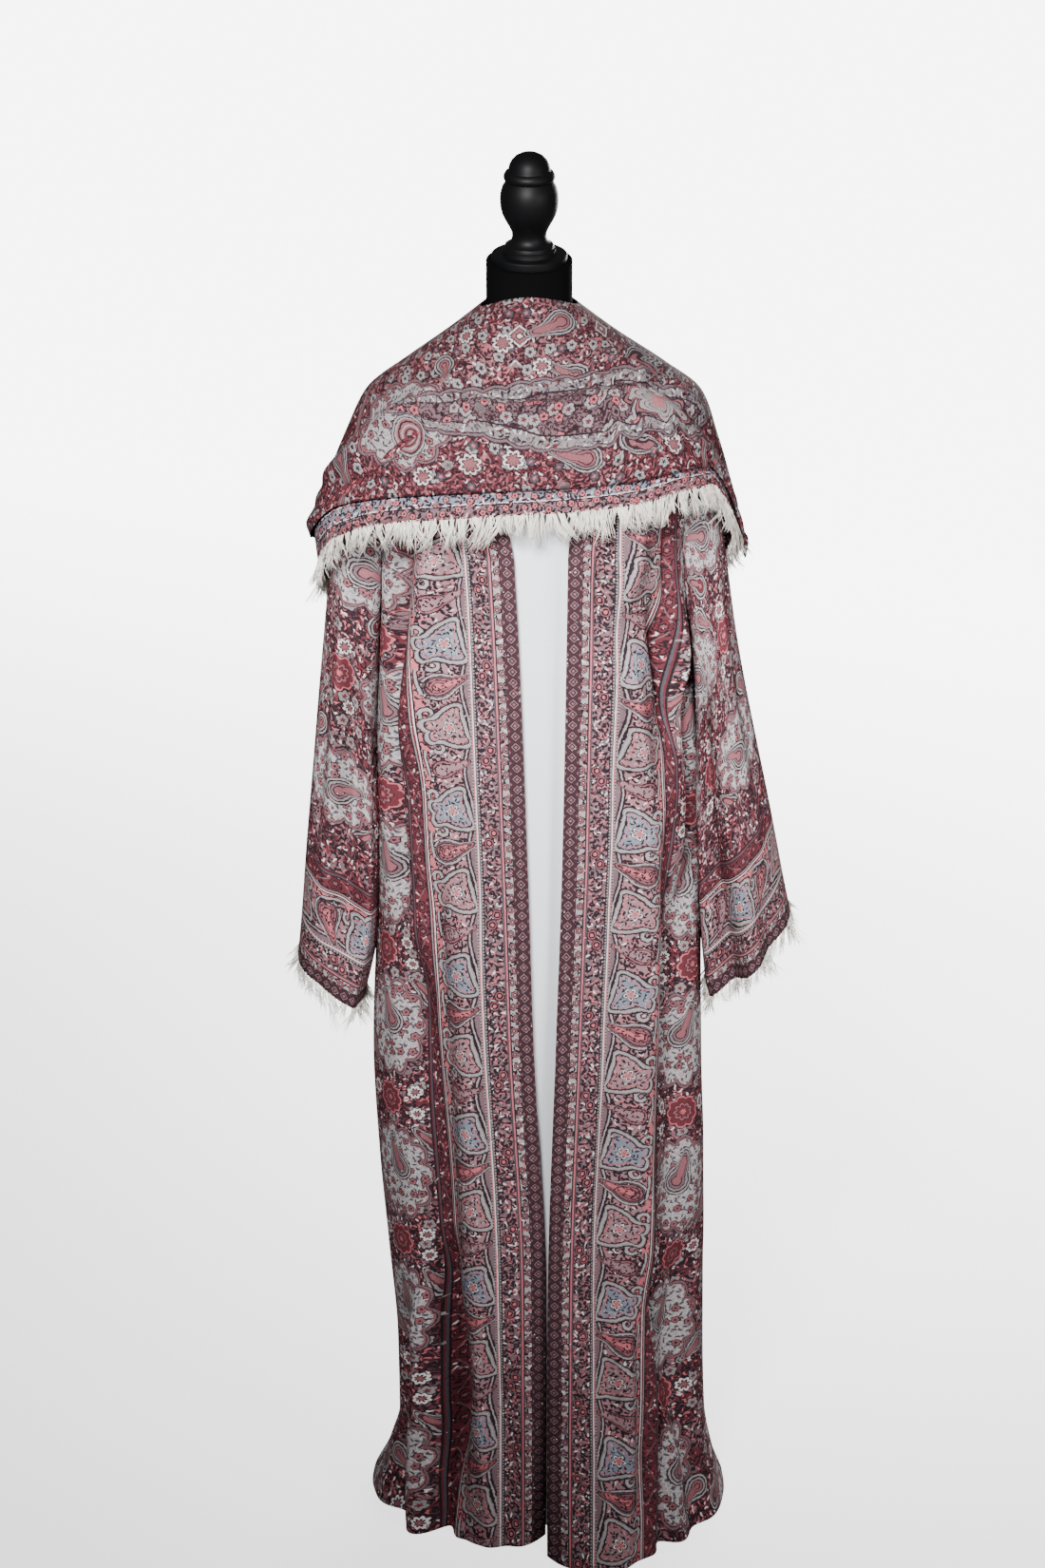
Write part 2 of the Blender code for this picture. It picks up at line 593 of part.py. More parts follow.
def fringe(name, loops, parts, length):
    """A narrow root strip below a cloth edge with one tapering strand under each part of a step.

    loops holds the outer and the inner corners of the cloth's closed edge.
    """
    edge, inner = (split_loop(loop, parts) for loop in loops)
    count = len(edge)
    sway = np.sin(np.arange(count) * SWAY_PITCH[0]) * np.cos(np.arange(count) * SWAY_PITCH[1])
    down = np.array([0.0, 0.0, -1.0])
    top_out, top_in = edge + down * ROOT_GAP, inner + down * ROOT_GAP
    low_out, low_in = top_out + down * TASSEL_ROOT, top_in + down * TASSEL_ROOT
    middle = (low_out + low_in + np.roll(low_out, -1, axis=0) + np.roll(low_in, -1, axis=0)) / 4.0
    along = np.roll(edge, -1, axis=0) - edge
    tips = middle + along * (STRAND_LEAN * np.roll(sway, 3))[:, None]
    tips += down * (length * (1.0 + STRAND_WAVE * sway))[:, None]
    points = np.concatenate([top_out, top_in, low_out, low_in, tips])
    faces = []
    for i in range(count):
        k = (i + 1) % count
        a, b, c, d = i, k, count + i, count + k
        e, f, g, h, tip = 2 * count + i, 2 * count + k, 3 * count + i, 3 * count + k, 4 * count + i
        faces += [(a, c, d, b), (a, b, f, e), (c, g, h, d)]
        faces += [(e, f, tip), (f, h, tip), (h, g, tip), (g, e, tip)]
    return solid(name, points, faces, "fringe")


def turned(name, profile, segments, finish):
    """A solid of revolution about Z from a profile of (radius, height) rows."""
    angles = np.arange(segments) * 2.0 * math.pi / segments
    points = [(r * math.cos(a), r * math.sin(a), z) for r, z in profile for a in angles]
    faces = []
    for i in range(len(profile) - 1):
        for j in range(segments):
            k = (j + 1) % segments
            faces.append(
                (i * segments + j, i * segments + k, (i + 1) * segments + k, (i + 1) * segments + j)
            )
    last = (len(profile) - 1) * segments
    faces.append(tuple(range(last, last + segments)))
    faces.append(tuple(reversed(range(segments))))
    return solid(name, points, faces, finish)


def build_torso():
    """The jersey-covered torso with its neck, cut off by a plate that leans forward."""
    around = TORSO_AROUND
    angles = np.arange(around) * 2.0 * math.pi / around
    sections = named_rows(TORSO, TORSO_COLUMNS)
    for step in named_rows(SHOULDER_STEPS, SHOULDER_STEP_COLUMNS):
        step["height"] = float(shoulder_height(step["half_width"]))
        sections.append(step)
    sections.append({"height": NECK_FOOT, "half_width": NECK_RADIUS, "front": NECK_RADIUS, "back": NECK_RADIUS})
    rings = []
    for row in sections:
        half_width = row["half_width"]
        x, y = oval(angles, half_width, half_width, row["front"], row["back"], TORSO_BOXINESS)
        rings.append(np.stack([x, y, np.full_like(x, row["height"])], axis=1))
    top = rings[-1].copy()
    top[:, 2] = NECK_TOP + top[:, 1] * math.tan(NECK_TILT)
    rings.append(top)
    points = np.concatenate(rings)
    faces = [tuple(reversed(range(around)))]
    for i in range(len(rings) - 1):
        for j in range(around):
            k = (j + 1) % around
            faces.append((i * around + j, i * around + k, (i + 1) * around + k, (i + 1) * around + j))
    last = (len(rings) - 1) * around
    faces.append(tuple(range(last, last + around)))
    return solid("form_torso", points, faces, "jersey")


def build_form():
    """The torso, its finial, the pole and the base plate that it all stands on."""
    build_torso()
    profile = [(row["radius"], row["height"]) for row in named_rows(FINIAL, FINIAL_COLUMNS)]
    finial = turned("form_finial", profile, FINIAL_AROUND, "black_wood")
    finial.rotation_euler = (NECK_TILT, 0.0, 0.0)
    finial.location = (0.0, 0.0, NECK_TOP + SEAM)
    pole = [(POLE_RADIUS, BASE_HEIGHT + SEAM), (POLE_RADIUS, TORSO[0][0] - SEAM)]
    turned("form_pole", pole, POLE_AROUND, "black_steel")
    plate = [
        (BASE_RADIUS, 0.0),
        (BASE_RADIUS, BASE_HEIGHT - BASE_BEVEL),
        (BASE_RADIUS - BASE_BEVEL, BASE_HEIGHT),
    ]
    turned("form_base", plate, BASE_AROUND, "black_steel")


def build_body():
    """The two fronts and the back, with the same levels so that their seams run together."""
    heights = np.concatenate(
        [[0.0, 0.020, 0.050, 0.090, 0.145, 0.215], np.linspace(0.295, 1.025, 12), [1.075, 1.11, 1.15, 1.20]]
    )
    rises = np.array([0.0, 0.25, 0.48, 0.68, 0.83, 0.93, 0.98, 1.0])
    for panel, name, outward in (("left", "front_left", 1.0), ("right", "front_right", -1.0)):
        edges = [("last_column", 1), ("last_row", 1), ("first_row", 2)]
        shares = np.concatenate([np.linspace(0.0, 0.5, 10), np.linspace(0.5, 1.0, 7)[1:]])
        grid = panel_grid(panel, heights, rises, shares)
        wall(name, grid, "paisley", outward=outward, flat_edges=edges)
    edges = [("first_column", 1), ("last_column", 1), ("last_row", 1), ("first_row", 2)]
    wall("back", panel_grid("back", heights, rises, np.linspace(0.0, 1.0, 23)), "paisley", flat_edges=edges)


def build_sleeves():
    """The two wide sleeves with a fringe below each cuff."""
    steps = np.concatenate([[0.0, 0.05, 0.11, 0.18, 0.26], np.linspace(0.35, 1.0, 9)])
    for side, sign in (("left", 1.0), ("right", -1.0)):
        grid = sleeve_grid(side, steps, SLEEVE_AROUND)
        edges = [("first_row", 0)]
        cuff = wall(f"sleeve_{side}", grid, "paisley", closed=True, outward=sign, flat_edges=edges)
        fringe(f"cuff_fringe_{side}", cuff, CUFF_STRANDS_PER_STEP, CUFF_STRAND_LENGTH)


def build_shawl():
    """The shawl's upper layer, the border of its under layer and the fringe below that."""
    upper = shawl_grid("upper", SHAWL_AROUND, UPPER_ROWS)
    wall("shawl_upper", upper, "paisley", closed=True, outward=-1.0)
    under = shawl_grid("under", SHAWL_AROUND, UNDER_ROWS, start=UNDER_START, inset=LAYER_GAP)
    edge = wall("shawl_under", under, "border", closed=True, outward=-1.0)
    fringe("shawl_fringe", edge, SHAWL_STRANDS_PER_STEP, SHAWL_STRAND_LENGTH)


def build_inner_panel():
    """The pale panel that shows between the open fronts."""
    heights = np.array([0.004, 0.06, 0.16, 0.30, 0.45, 0.60, 0.75, 0.90, 1.04, 1.15, 1.25, 1.33, 1.40])
    across = np.linspace(-1.0, 1.0, 9)
    rows = []
    for height in heights:
        middle, half, depth = (
            float(column(PANEL, PANEL_COLUMNS, name, height)) for name in PANEL_COLUMNS[1:]
        )
        x = middle + half * across
        y = -depth + PANEL_BEND * x**2
        rows.append(np.stack([x, y, np.full_like(x, height)], axis=1))
    wall("inner_panel", np.stack(rows), "crepe", outward=1.0)


def main():
    for old in list(bpy.data.objects):
        bpy.data.objects.remove(old, do_unlink=True)
    build_form()
    build_inner_panel()
    build_body()
    build_sleeves()
    build_shawl()


main()
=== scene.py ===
"""Dressed view of the paisley abaya with its shoulder shawl on a dress form.

Metres, +Z up, the wearer's left is +X and the open front faces -Y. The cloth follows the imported
model's sections, with finer folds and a woven pattern laid out in cloth coordinates.
"""

import math
from collections import namedtuple

import bpy
import numpy as np
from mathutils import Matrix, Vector


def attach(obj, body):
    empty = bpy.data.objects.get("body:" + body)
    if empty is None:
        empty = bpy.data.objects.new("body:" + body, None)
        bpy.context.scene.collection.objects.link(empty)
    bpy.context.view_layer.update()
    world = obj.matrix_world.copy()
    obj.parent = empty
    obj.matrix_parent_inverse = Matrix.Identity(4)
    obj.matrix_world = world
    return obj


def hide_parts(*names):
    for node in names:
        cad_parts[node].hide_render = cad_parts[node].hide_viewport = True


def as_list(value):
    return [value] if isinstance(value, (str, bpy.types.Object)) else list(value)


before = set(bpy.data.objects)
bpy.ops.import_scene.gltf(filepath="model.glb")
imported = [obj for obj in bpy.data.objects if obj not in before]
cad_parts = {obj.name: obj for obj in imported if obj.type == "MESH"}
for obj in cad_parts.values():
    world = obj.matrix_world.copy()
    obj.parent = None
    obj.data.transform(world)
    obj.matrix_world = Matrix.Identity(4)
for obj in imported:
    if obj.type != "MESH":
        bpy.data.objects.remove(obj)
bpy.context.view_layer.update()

SEED = 20
WALL = 0.0012
SEAM = 0.0003


def table(columns, *rows):
    """Rows of a table whose values go by the names of its columns."""
    kind = namedtuple("Row", columns)
    return [kind(*row) for row in rows]


# Camera: 3.29 m in front and 1.95 m up, tilted 17 degrees down
CAMERA_PLACE = (-0.0077, -3.29, 1.95)
CAMERA_TILT = math.radians(73.0)
CAMERA_LENS = 65.4545  # a focal length of 3000 pixels, with 1650 pixels on 36 mm

# The studio's floor and air: half the floor's side, its level, and how bright each looks and lights
FLOOR_HALF = 300.0
FLOOR_LEVEL = -0.0006
FLOOR_TONES = ((0.78, 0.78, 0.79), (0.80, 0.80, 0.81))
# FLOOR_GLOW sets the floor's painted glow, seen only by the camera, rising further back and towards the
# right
FLOOR_GLOW = {"From Min": -1.2, "From Max": 6.0, "To Min": 1.5, "To Max": 7.0}
AIR_TONE = (0.97, 0.98, 1.0, 1.0)
AIR_LIGHT = 0.11
AIR_SEEN = 7.0

# Lamps: place, point that they face, width, height, spread in degrees and power
LAMPS = table(
    "name place target width height spread power",
    ("key", (-0.42, -2.20, 2.35), (0.0, 0.0, 1.18), 0.6, 0.30, 46.0, 14.2),
    ("fill", (1.70, -2.00, 1.50), (0.05, 0.0, 0.85), 0.9, 0.40, 56.0, 5.6),
    ("back", (0.90, 2.90, 1.50), (0.0, 0.0, 0.95), 2.0, 1.0, 90.0, 34.0),
)

# Levels, widths and gaps where the garment's pieces meet
YOKE = 1.250
ARMHOLE_HALF = 0.175
ARMHOLE_DEPTH = 0.055
NECK_SIDE = 0.062
SHOULDER_TIP = 0.184
SEAM_RISE = 0.0054
NECK_FULLNESS = 0.5

SHOULDER = table(
    "out height",
    (0.049, 1.5155),
    (0.062, 1.5060),
    (0.100, 1.4800),
    (0.141, 1.4515),
    (0.170, 1.4285),
    (0.193, 1.4085),
)

BODY = table(
    "height left right front_left front_right back middle boxiness",
    (0.000, 0.254, 0.203, 0.222, 0.172, 0.205, 0.022, 2.15),
    (0.045, 0.239, 0.182, 0.194, 0.160, 0.187, 0.022, 2.20),
    (0.110, 0.227, 0.166, 0.176, 0.154, 0.176, 0.022, 2.30),
    (0.212, 0.223, 0.167, 0.168, 0.151, 0.168, 0.022, 2.30),
    (0.345, 0.221, 0.177, 0.160, 0.149, 0.160, 0.021, 2.30),
    (0.476, 0.219, 0.187, 0.154, 0.147, 0.154, 0.020, 2.30),
    (0.605, 0.214, 0.192, 0.150, 0.145, 0.148, 0.019, 2.30),
    (0.800, 0.209, 0.185, 0.142, 0.140, 0.140, 0.018, 2.40),
    (0.950, 0.204, 0.182, 0.138, 0.136, 0.134, 0.017, 2.50),
    (1.120, 0.193, 0.179, 0.134, 0.134, 0.130, 0.015, 2.60),
    (1.250, 0.184, 0.178, 0.132, 0.132, 0.126, 0.013, 2.70),
)

EDGE = table(
    "height left right curl",
    (0.000, 0.0228, 0.0214, 0.034),
    (0.100, 0.0226, 0.0213, 0.018),
    (0.230, 0.0226, 0.0211, 0.010),
    (0.358, 0.0232, 0.0203, 0.006),
    (0.658, 0.0317, 0.0057, 0.000),
    (0.897, 0.0388, -0.0022, 0.000),
    (1.126, 0.0424, -0.0110, 0.000),
    (1.270, 0.0440, -0.0187, 0.000),
)
CURL_WIDTH = 0.045

# Folds of the body: distance from the front edge at the fold's ends, half width and depth
FOLDS = table(
    "panel top at_top low at_low width depth",
    ("left", 1.330, 0.085, 1.150, 0.062, 0.018, -0.015),
    ("left", 1.180, 0.062, 0.930, 0.104, 0.018, -0.014),
    ("left", 1.230, 0.108, 0.990, 0.140, 0.016, 0.022),
    ("left", 1.000, 0.098, 0.300, 0.120, 0.026, -0.011),
    ("left", 1.220, 0.176, 0.780, 0.190, 0.013, 0.016),
    ("left", 0.380, 0.150, -0.080, 0.168, 0.016, 0.016),
    ("left", 0.330, 0.105, -0.060, 0.090, 0.018, -0.012),
    ("left", 0.960, 0.135, 0.250, 0.150, 0.016, 0.008),
    ("left", 0.900, 0.160, 0.080, 0.185, 0.026, 0.014),
    ("left", 0.420, 0.205, -0.050, 0.225, 0.024, 0.016),
    ("left", 1.300, 0.048, 1.130, 0.030, 0.007, 0.006),
    ("left", 0.640, 0.060, 0.120, 0.072, 0.012, 0.005),
    ("left", 0.330, 0.118, 0.030, 0.112, 0.012, 0.008),
    ("left", 0.300, 0.155, -0.040, 0.150, 0.014, -0.009),
    ("left", 1.240, 0.150, 1.020, 0.175, 0.012, -0.009),
    ("left", 1.320, 0.135, 1.160, 0.120, 0.009, 0.007),
    ("left", 0.220, 0.060, -0.040, 0.075, 0.014, -0.006),
    ("right", 1.330, 0.118, 1.040, 0.185, 0.015, 0.022),
    ("right", 1.330, 0.085, 0.960, 0.140, 0.020, -0.013),
    ("right", 1.330, 0.060, 1.120, 0.078, 0.010, 0.007),
    ("right", 1.240, 0.166, 0.780, 0.172, 0.013, 0.016),
    ("right", 0.420, 0.125, -0.080, 0.135, 0.015, 0.018),
    ("right", 0.360, 0.160, -0.060, 0.180, 0.020, -0.014),
    ("right", 1.290, 0.150, 1.120, 0.172, 0.008, -0.008),
    ("right", 0.860, 0.075, 0.200, 0.085, 0.026, -0.009),
    ("right", 0.900, 0.108, 0.300, 0.112, 0.014, 0.007),
    ("right", 0.800, 0.145, 0.050, 0.128, 0.024, 0.015),
    ("right", 0.300, 0.205, -0.060, 0.215, 0.026, 0.017),
    ("right", 1.300, 0.055, 1.090, 0.050, 0.009, 0.005),
    ("right", 0.360, 0.110, -0.040, 0.105, 0.012, 0.009),
    ("right", 0.300, 0.078, -0.040, 0.074, 0.012, -0.007),
    ("right", 0.240, 0.050, -0.040, 0.044, 0.012, 0.006),
    ("back", 1.180, 0.100, -0.050, 0.080, 0.030, 0.014),
    ("back", 1.120, 0.185, -0.050, 0.180, 0.032, 0.018),
    ("back", 1.200, 0.270, -0.050, 0.285, 0.032, 0.016),
    ("back", 1.160, 0.355, -0.050, 0.390, 0.030, 0.015),
    ("back", 0.700, 0.235, -0.050, 0.232, 0.030, -0.010),
    ("back", 0.600, 0.140, -0.050, 0.130, 0.014, 0.005),
    ("back", 0.520, 0.330, -0.050, 0.335, 0.014, 0.005),
)
FOLD_FADE = 0.10
FOLD_STRENGTH = 1.7
FOLD_SWAY = 0.004  # how far a fold's middle wavers to the sides on its way up
SWAY_TURNS = 17.0
SWAY_SHIFT = 60.0
EDGE_FADE = 0.02  # how far in from a front edge and from a side seam the folds reach full depth
SEAM_FADE = 0.04

# Low uneven swells of the cloth: their size on each kind of piece, and the waves they are made of
BODY_SWELL = 0.0018
SLEEVE_SWELL = 0.0022
SHAWL_SWELL = 0.0012
SLEEVE_SEED = SEED + 5
SHAWL_SEED = SEED + 8
SWELL_WAVES = 7
SWELL_PITCH = (0.06, 0.16)
SWELL_STRETCH = (0.25, 0.6)
SWELL_PEAK = 5.0  # the waves' usual peak

# Points of each cloth's grid
ROW_STEP = 0.0046
YOKE_ROWS = 62
FRONT_SPLIT = 0.62  # share of a front's width that has the finer columns
FRONT_FINE = 56
FRONT_WIDE = 25
BACK_ACROSS = 106
SLEEVE_ROWS = 132
SLEEVE_AROUND = 112
SHAWL_AROUND = 288
UPPER_ROWS = 72
UNDER_ROWS = 14
PANEL_ROWS = 200
PANEL_ACROSS = 41
FINE_STEPS = 481  # points of a level before it is cut into columns
SHAWL_STEPS = 241  # levels of the shawl before its lower edge is cut

SLEEVE = "along over over_height under under_height front back boxiness"
SLEEVE_LEFT = table(
    SLEEVE,
    (0.00, 0.186, 1.412, 0.187, 1.080, 0.056, 0.056, 2.0),
    (0.14, 0.204, 1.358, 0.193, 1.030, 0.066, 0.064, 2.2),
    (0.30, 0.225, 1.270, 0.198, 0.985, 0.072, 0.072, 2.4),
    (0.50, 0.247, 1.125, 0.1995, 0.920, 0.080, 0.082, 2.6),
    (0.75, 0.284, 0.950, 0.2055, 0.800, 0.090, 0.092, 2.6),
    (1.00, 0.318, 0.792, 0.2180, 0.690, 0.100, 0.098, 2.4),
)
SLEEVE_RIGHT = table(
    SLEEVE,
    (0.00, 0.186, 1.412, 0.180, 1.080, 0.056, 0.056, 2.0),
    (0.14, 0.202, 1.358, 0.180, 1.030, 0.066, 0.064, 2.2),
    (0.30, 0.228, 1.265, 0.180, 0.980, 0.072, 0.072, 2.4),
    (0.50, 0.244, 1.120, 0.1770, 0.900, 0.080, 0.080, 2.6),
    (0.75, 0.264, 0.920, 0.1805, 0.780, 0.088, 0.088, 2.6),
    (1.00, 0.282, 0.737, 0.2010, 0.680, 0.094, 0.092, 2.4),
)
ARMHOLE_BLEND = 0.35  # share of a sleeve's length over which it leaves the armhole's outline
SLEEVE_FOLD_RISE = 0.25  # share of its length over which a fold deepens, and dies out
SLEEVE_FOLD_FALL = 0.15
SLEEVE_RADIUS = 0.1  # rough size of a sleeve, for its swells
SLEEVE_LENGTH = 0.7
SLEEVE_SWELL_START = 0.2
SLEEVE_FOLDS = table(
    "side angle start stop width depth",
    ("left", 118.0, 0.15, 1.10, 18.0, 0.018),
    ("left", 62.0, 0.80, 1.15, 20.0, 0.012),
    ("left", 235.0, 0.25, 1.10, 26.0, 0.012),
    ("left", 88.0, 0.55, 1.15, 12.0, -0.008),
    ("left", 40.0, 0.20, 0.85, 11.0, 0.006),
    ("left", 150.0, 0.40, 1.10, 10.0, -0.005),
    ("left", 70.0, 0.10, 0.60, 9.0, 0.005),
    ("right", 100.0, 0.20, 0.95, 18.0, 0.014),
    ("right", 75.0, 0.85, 1.15, 24.0, 0.010),
    ("right", 245.0, 0.25, 1.10, 26.0, 0.012),
    ("right", 45.0, 0.30, 0.85, 11.0, 0.007),
    ("right", 70.0, 0.15, 0.70, 10.0, -0.006),
    ("right", 128.0, 0.45, 1.15, 12.0, -0.005),
)

SHAWL = table(
    "along left right front back front_height left_height right_height back_height boxiness",
    (0.00, 0.0560, 0.0570, 0.0650, 0.0620, 1.5360, 1.5220, 1.5190, 1.5360, 2.0),
    (0.13, 0.1020, 0.0985, 0.0900, 0.0830, 1.5020, 1.4890, 1.4890, 1.5050, 2.1),
    (0.28, 0.1610, 0.1410, 0.1180, 0.1050, 1.4620, 1.4510, 1.4600, 1.4660, 2.2),
    (0.42, 0.2010, 0.1900, 0.1400, 0.1270, 1.4220, 1.4200, 1.4225, 1.4150, 2.4),
    (0.56, 0.2190, 0.2130, 0.1520, 0.1440, 1.3870, 1.3720, 1.3760, 1.3500, 2.5),
    (0.72, 0.2365, 0.2360, 0.1600, 0.1580, 1.3540, 1.3160, 1.3200, 1.2850, 2.6),
    (0.86, 0.2490, 0.2570, 0.1660, 0.1700, 1.3120, 1.2660, 1.2700, 1.2260, 2.6),
    (1.00, 0.2580, 0.2500, 0.1700, 0.1780, 1.2700, 1.2000, 1.2000, 1.1700, 2.6),
)
SHAWL_HEMS = table(
    "angle upper under",
    (-180.0, 1.212, 1.190),
    (-125.0, 1.222, 1.192),
    (-100.0, 1.236, 1.198),
    (-88.0, 1.250, 1.212),
    (-74.0, 1.272, 1.240),
    (-58.0, 1.304, 1.268),
    (-35.0, 1.322, 1.292),
    (0.0, 1.335, 1.307),
    (25.0, 1.343, 1.317),
    (45.0, 1.350, 1.327),
    (60.0, 1.348, 1.327),
    (72.0, 1.318, 1.303),
    (82.0, 1.258, 1.270),
    (91.0, 1.222, 1.258),
    (101.0, 1.240, 1.238),
    (125.0, 1.230, 1.196),
    (180.0, 1.212, 1.190),
)
UNDER_START = 0.52
LAYER_GAP = 0.0050

# Creases of the shawl: a path of (angle round the neck, height) with a half width and a depth
SHAWL_CREASES = (
    (((-14.0, 1.440), (2.0, 1.436), (16.0, 1.447), (30.0, 1.466)), 0.007, 0.006),
    (((24.0, 1.462), (36.0, 1.466), (50.0, 1.452)), 0.007, -0.009),
    (((22.0, 1.447), (36.0, 1.450), (48.0, 1.438)), 0.006, 0.006),
    (((-20.0, 1.428), (0.0, 1.424), (20.0, 1.432), (44.0, 1.446)), 0.009, -0.006),
    (((-60.0, 1.345), (-30.0, 1.356), (0.0, 1.362), (40.0, 1.372), (64.0, 1.372)), 0.012, -0.004),
    (((-80.0, 1.330), (-55.0, 1.385), (-38.0, 1.430), (-24.0, 1.470)), 0.016, -0.006),
    (((-72.0, 1.300), (-50.0, 1.345), (-34.0, 1.395)), 0.010, 0.005),
    (((84.0, 1.330), (74.0, 1.372), (62.0, 1.410), (52.0, 1.440)), 0.012, 0.005),
    (((68.0, 1.330), (77.0, 1.290), (88.0, 1.232)), 0.0055, -0.004),
    (((62.0, 1.362), (72.0, 1.322), (84.0, 1.262)), 0.0050, 0.004),
    (((56.0, 1.378), (68.0, 1.350), (82.0, 1.290)), 0.0060, -0.003),
    (((128.0, 1.462), (160.0, 1.420), (200.0, 1.418), (232.0, 1.462)), 0.018, 0.0035),
    (((132.0, 1.372), (172.0, 1.322), (212.0, 1.352)), 0.022, -0.0040),
    (((128.0, 1.420), (116.0, 1.320), (112.0, 1.190)), 0.022, 0.0045),
    (((232.0, 1.420), (245.0, 1.320), (250.0, 1.190)), 0.022, 0.0045),
    (((176.0, 1.300), (186.0, 1.180)), 0.020, 0.0040),
)
CREASE_STRENGTH = 1.45
CREASE_SCALE = 0.0032  # metres of cloth for one degree round the neck
CREASE_TOP_FADE = 0.12  # share of the layer over which the creases fade at its top and its edge
CREASE_EDGE_FADE = 0.05
SHAWL_RADIUS = 0.15  # rough size of the shawl, for its swells
EDGE_ROLL = 0.0034  # how far the upper layer's folded edge stands out
EDGE_ROLL_ROW = 0.965  # where that edge is, as a share of the layer
EDGE_GROOVE_ROW = 0.905
EDGE_ROLL_WIDTH = 0.022

# Tufts of fringe: pitch, and how much they vary in place, lean and length
TUFT_PITCH = 0.0056
TUFT_JITTER = 0.3
TUFT_LEAN = 0.32
TUFT_REACH = 0.22
STRAY_SHARE = 0.22  # share of the threads that leave their tuft
THREAD_WIDTHS = ((-0.06, 1.0), (0.35, 0.95), (0.72, 0.8), (1.0, 0.35))  # places down a thread, thickness

# Fringe threads: length, how far they spread, radius, number in a metre and random start
CUFF_THREADS = (0.019, 1.6, 0.00045, 1500.0, SEED + 30)
SHAWL_THREADS = (0.026, 1.0, 0.00055, 2000.0, SEED + 31)

BODY_PIECES = ["abaya_front_left", "abaya_front_right", "abaya_back"]

# The cut of each piece of cloth: width, length and area when flat, how it is held, what it rests on
# and the fringe on it
SHEETS = table(
    "node width length area held rests_on fringe",
    ("front_left", 0.40, 1.59, 0.421, "draped", ["form_torso"], None),
    ("front_right", 0.39, 1.59, 0.448, "draped", ["form_torso"], None),
    ("back", 0.70, 1.59, 0.840, "draped", ["form_torso"], None),
    ("sleeve_left", 0.62, 0.65, 0.225, "hung", ["abaya_front_left", "abaya_back"], "cuff_fringe_left"),
    ("sleeve_right", 0.62, 0.70, 0.230, "hung", ["abaya_front_right", "abaya_back"], "cuff_fringe_right"),
    ("shawl_upper", 1.48, 0.39, 0.320, "draped", ["shawl_under_cloth"], None),
    ("shawl_under", 1.43, 0.21, 0.186, "draped", BODY_PIECES, "shawl_fringe"),
    ("inner_panel", 0.155, 1.40, 0.214, "hung", ["form_torso"], None),
)

CRYSTAL_RADIUS = 0.0008
CRYSTAL_SEED = SEED + 40
CRYSTAL_SIZES = (0.8, 1.15)
CRYSTAL_TIP = 1.1  # how far a crystal's tip stands out, and its girdle, for its radius
CRYSTAL_GIRDLE = 0.3
OUTER_FACES = 0.45  # share of a cloth's faces that is surely outside, which come first in its mesh
CRYSTALS = table(
    "node count",
    ("front_left", 300),
    ("front_right", 300),
    ("back", 320),
    ("sleeve_left", 150),
    ("sleeve_right", 150),
    ("shawl_upper", 260),
)

PANEL = table(
    "height middle half_width depth",
    (0.004, 0.002, 0.072, 0.124),
    (0.110, 0.002, 0.072, 0.127),
    (0.350, 0.004, 0.074, 0.131),
    (0.600, 0.012, 0.075, 0.130),
    (0.900, 0.020, 0.075, 0.1235),
    (1.120, 0.024, 0.075, 0.1210),
    (1.250, 0.026, 0.074, 0.1205),
    (1.340, 0.024, 0.066, 0.1160),
    (1.400, 0.020, 0.055, 0.1060),
)
PANEL_BEND = 2.0
PANEL_RIPPLES = ((0.0012, 190.0, 1.2), (0.0010, 95.0, -2.0))  # size, and turns across and up

TORSO = table(
    "height half_width front back",
    (0.800, 0.146, 0.092, 0.094),
    (0.815, 0.152, 0.098, 0.100),
    (0.870, 0.158, 0.103, 0.108),
    (0.940, 0.150, 0.100, 0.105),
    (1.060, 0.122, 0.092, 0.086),
    (1.160, 0.140, 0.108, 0.093),
    (1.250, 0.158, 0.1175, 0.099),
    (1.330, 0.170, 0.1090, 0.097),
    (1.385, 0.178, 0.0930, 0.078),
)
TORSO_BOXINESS = 2.2
FORM_AROUND = 72
FORM_STEPS = 4  # levels from one row of the torso's table to the next
SHARP_ANGLE = math.radians(35.0)
SHOULDER_STEPS = table(
    "half_width front back",
    (0.170, 0.072, 0.060),
    (0.141, 0.066, 0.055),
    (0.100, 0.058, 0.051),
    (0.062, 0.052, 0.050),
)
NECK_RADIUS = 0.0495
NECK_FOOT = 1.5190
NECK_TOP = 1.570
NECK_TILT = math.radians(12.0)
FINIAL = table(
    "radius height",
    (0.0435, 0.0000), (0.0437, 0.0040), (0.0435, 0.0070), (0.0425, 0.0082), (0.0400, 0.0088),
    (0.0310, 0.0092), (0.0306, 0.0110), (0.0303, 0.0140), (0.0285, 0.0152), (0.0282, 0.0172),
    (0.0275, 0.0190), (0.0235, 0.0208), (0.0208, 0.0240), (0.0196, 0.0285), (0.0200, 0.0335),
    (0.0228, 0.0400), (0.0272, 0.0475), (0.0308, 0.0550), (0.0328, 0.0630), (0.0334, 0.0710),
    (0.0328, 0.0790), (0.0306, 0.0865), (0.0276, 0.0915), (0.0268, 0.0928), (0.0284, 0.0944),
    (0.0293, 0.0968), (0.0292, 0.0995), (0.0272, 0.1030), (0.0244, 0.1046), (0.0238, 0.1062),
    (0.0228, 0.1110), (0.0202, 0.1160), (0.0156, 0.1208), (0.0096, 0.1240), (0.0030, 0.1252),
)

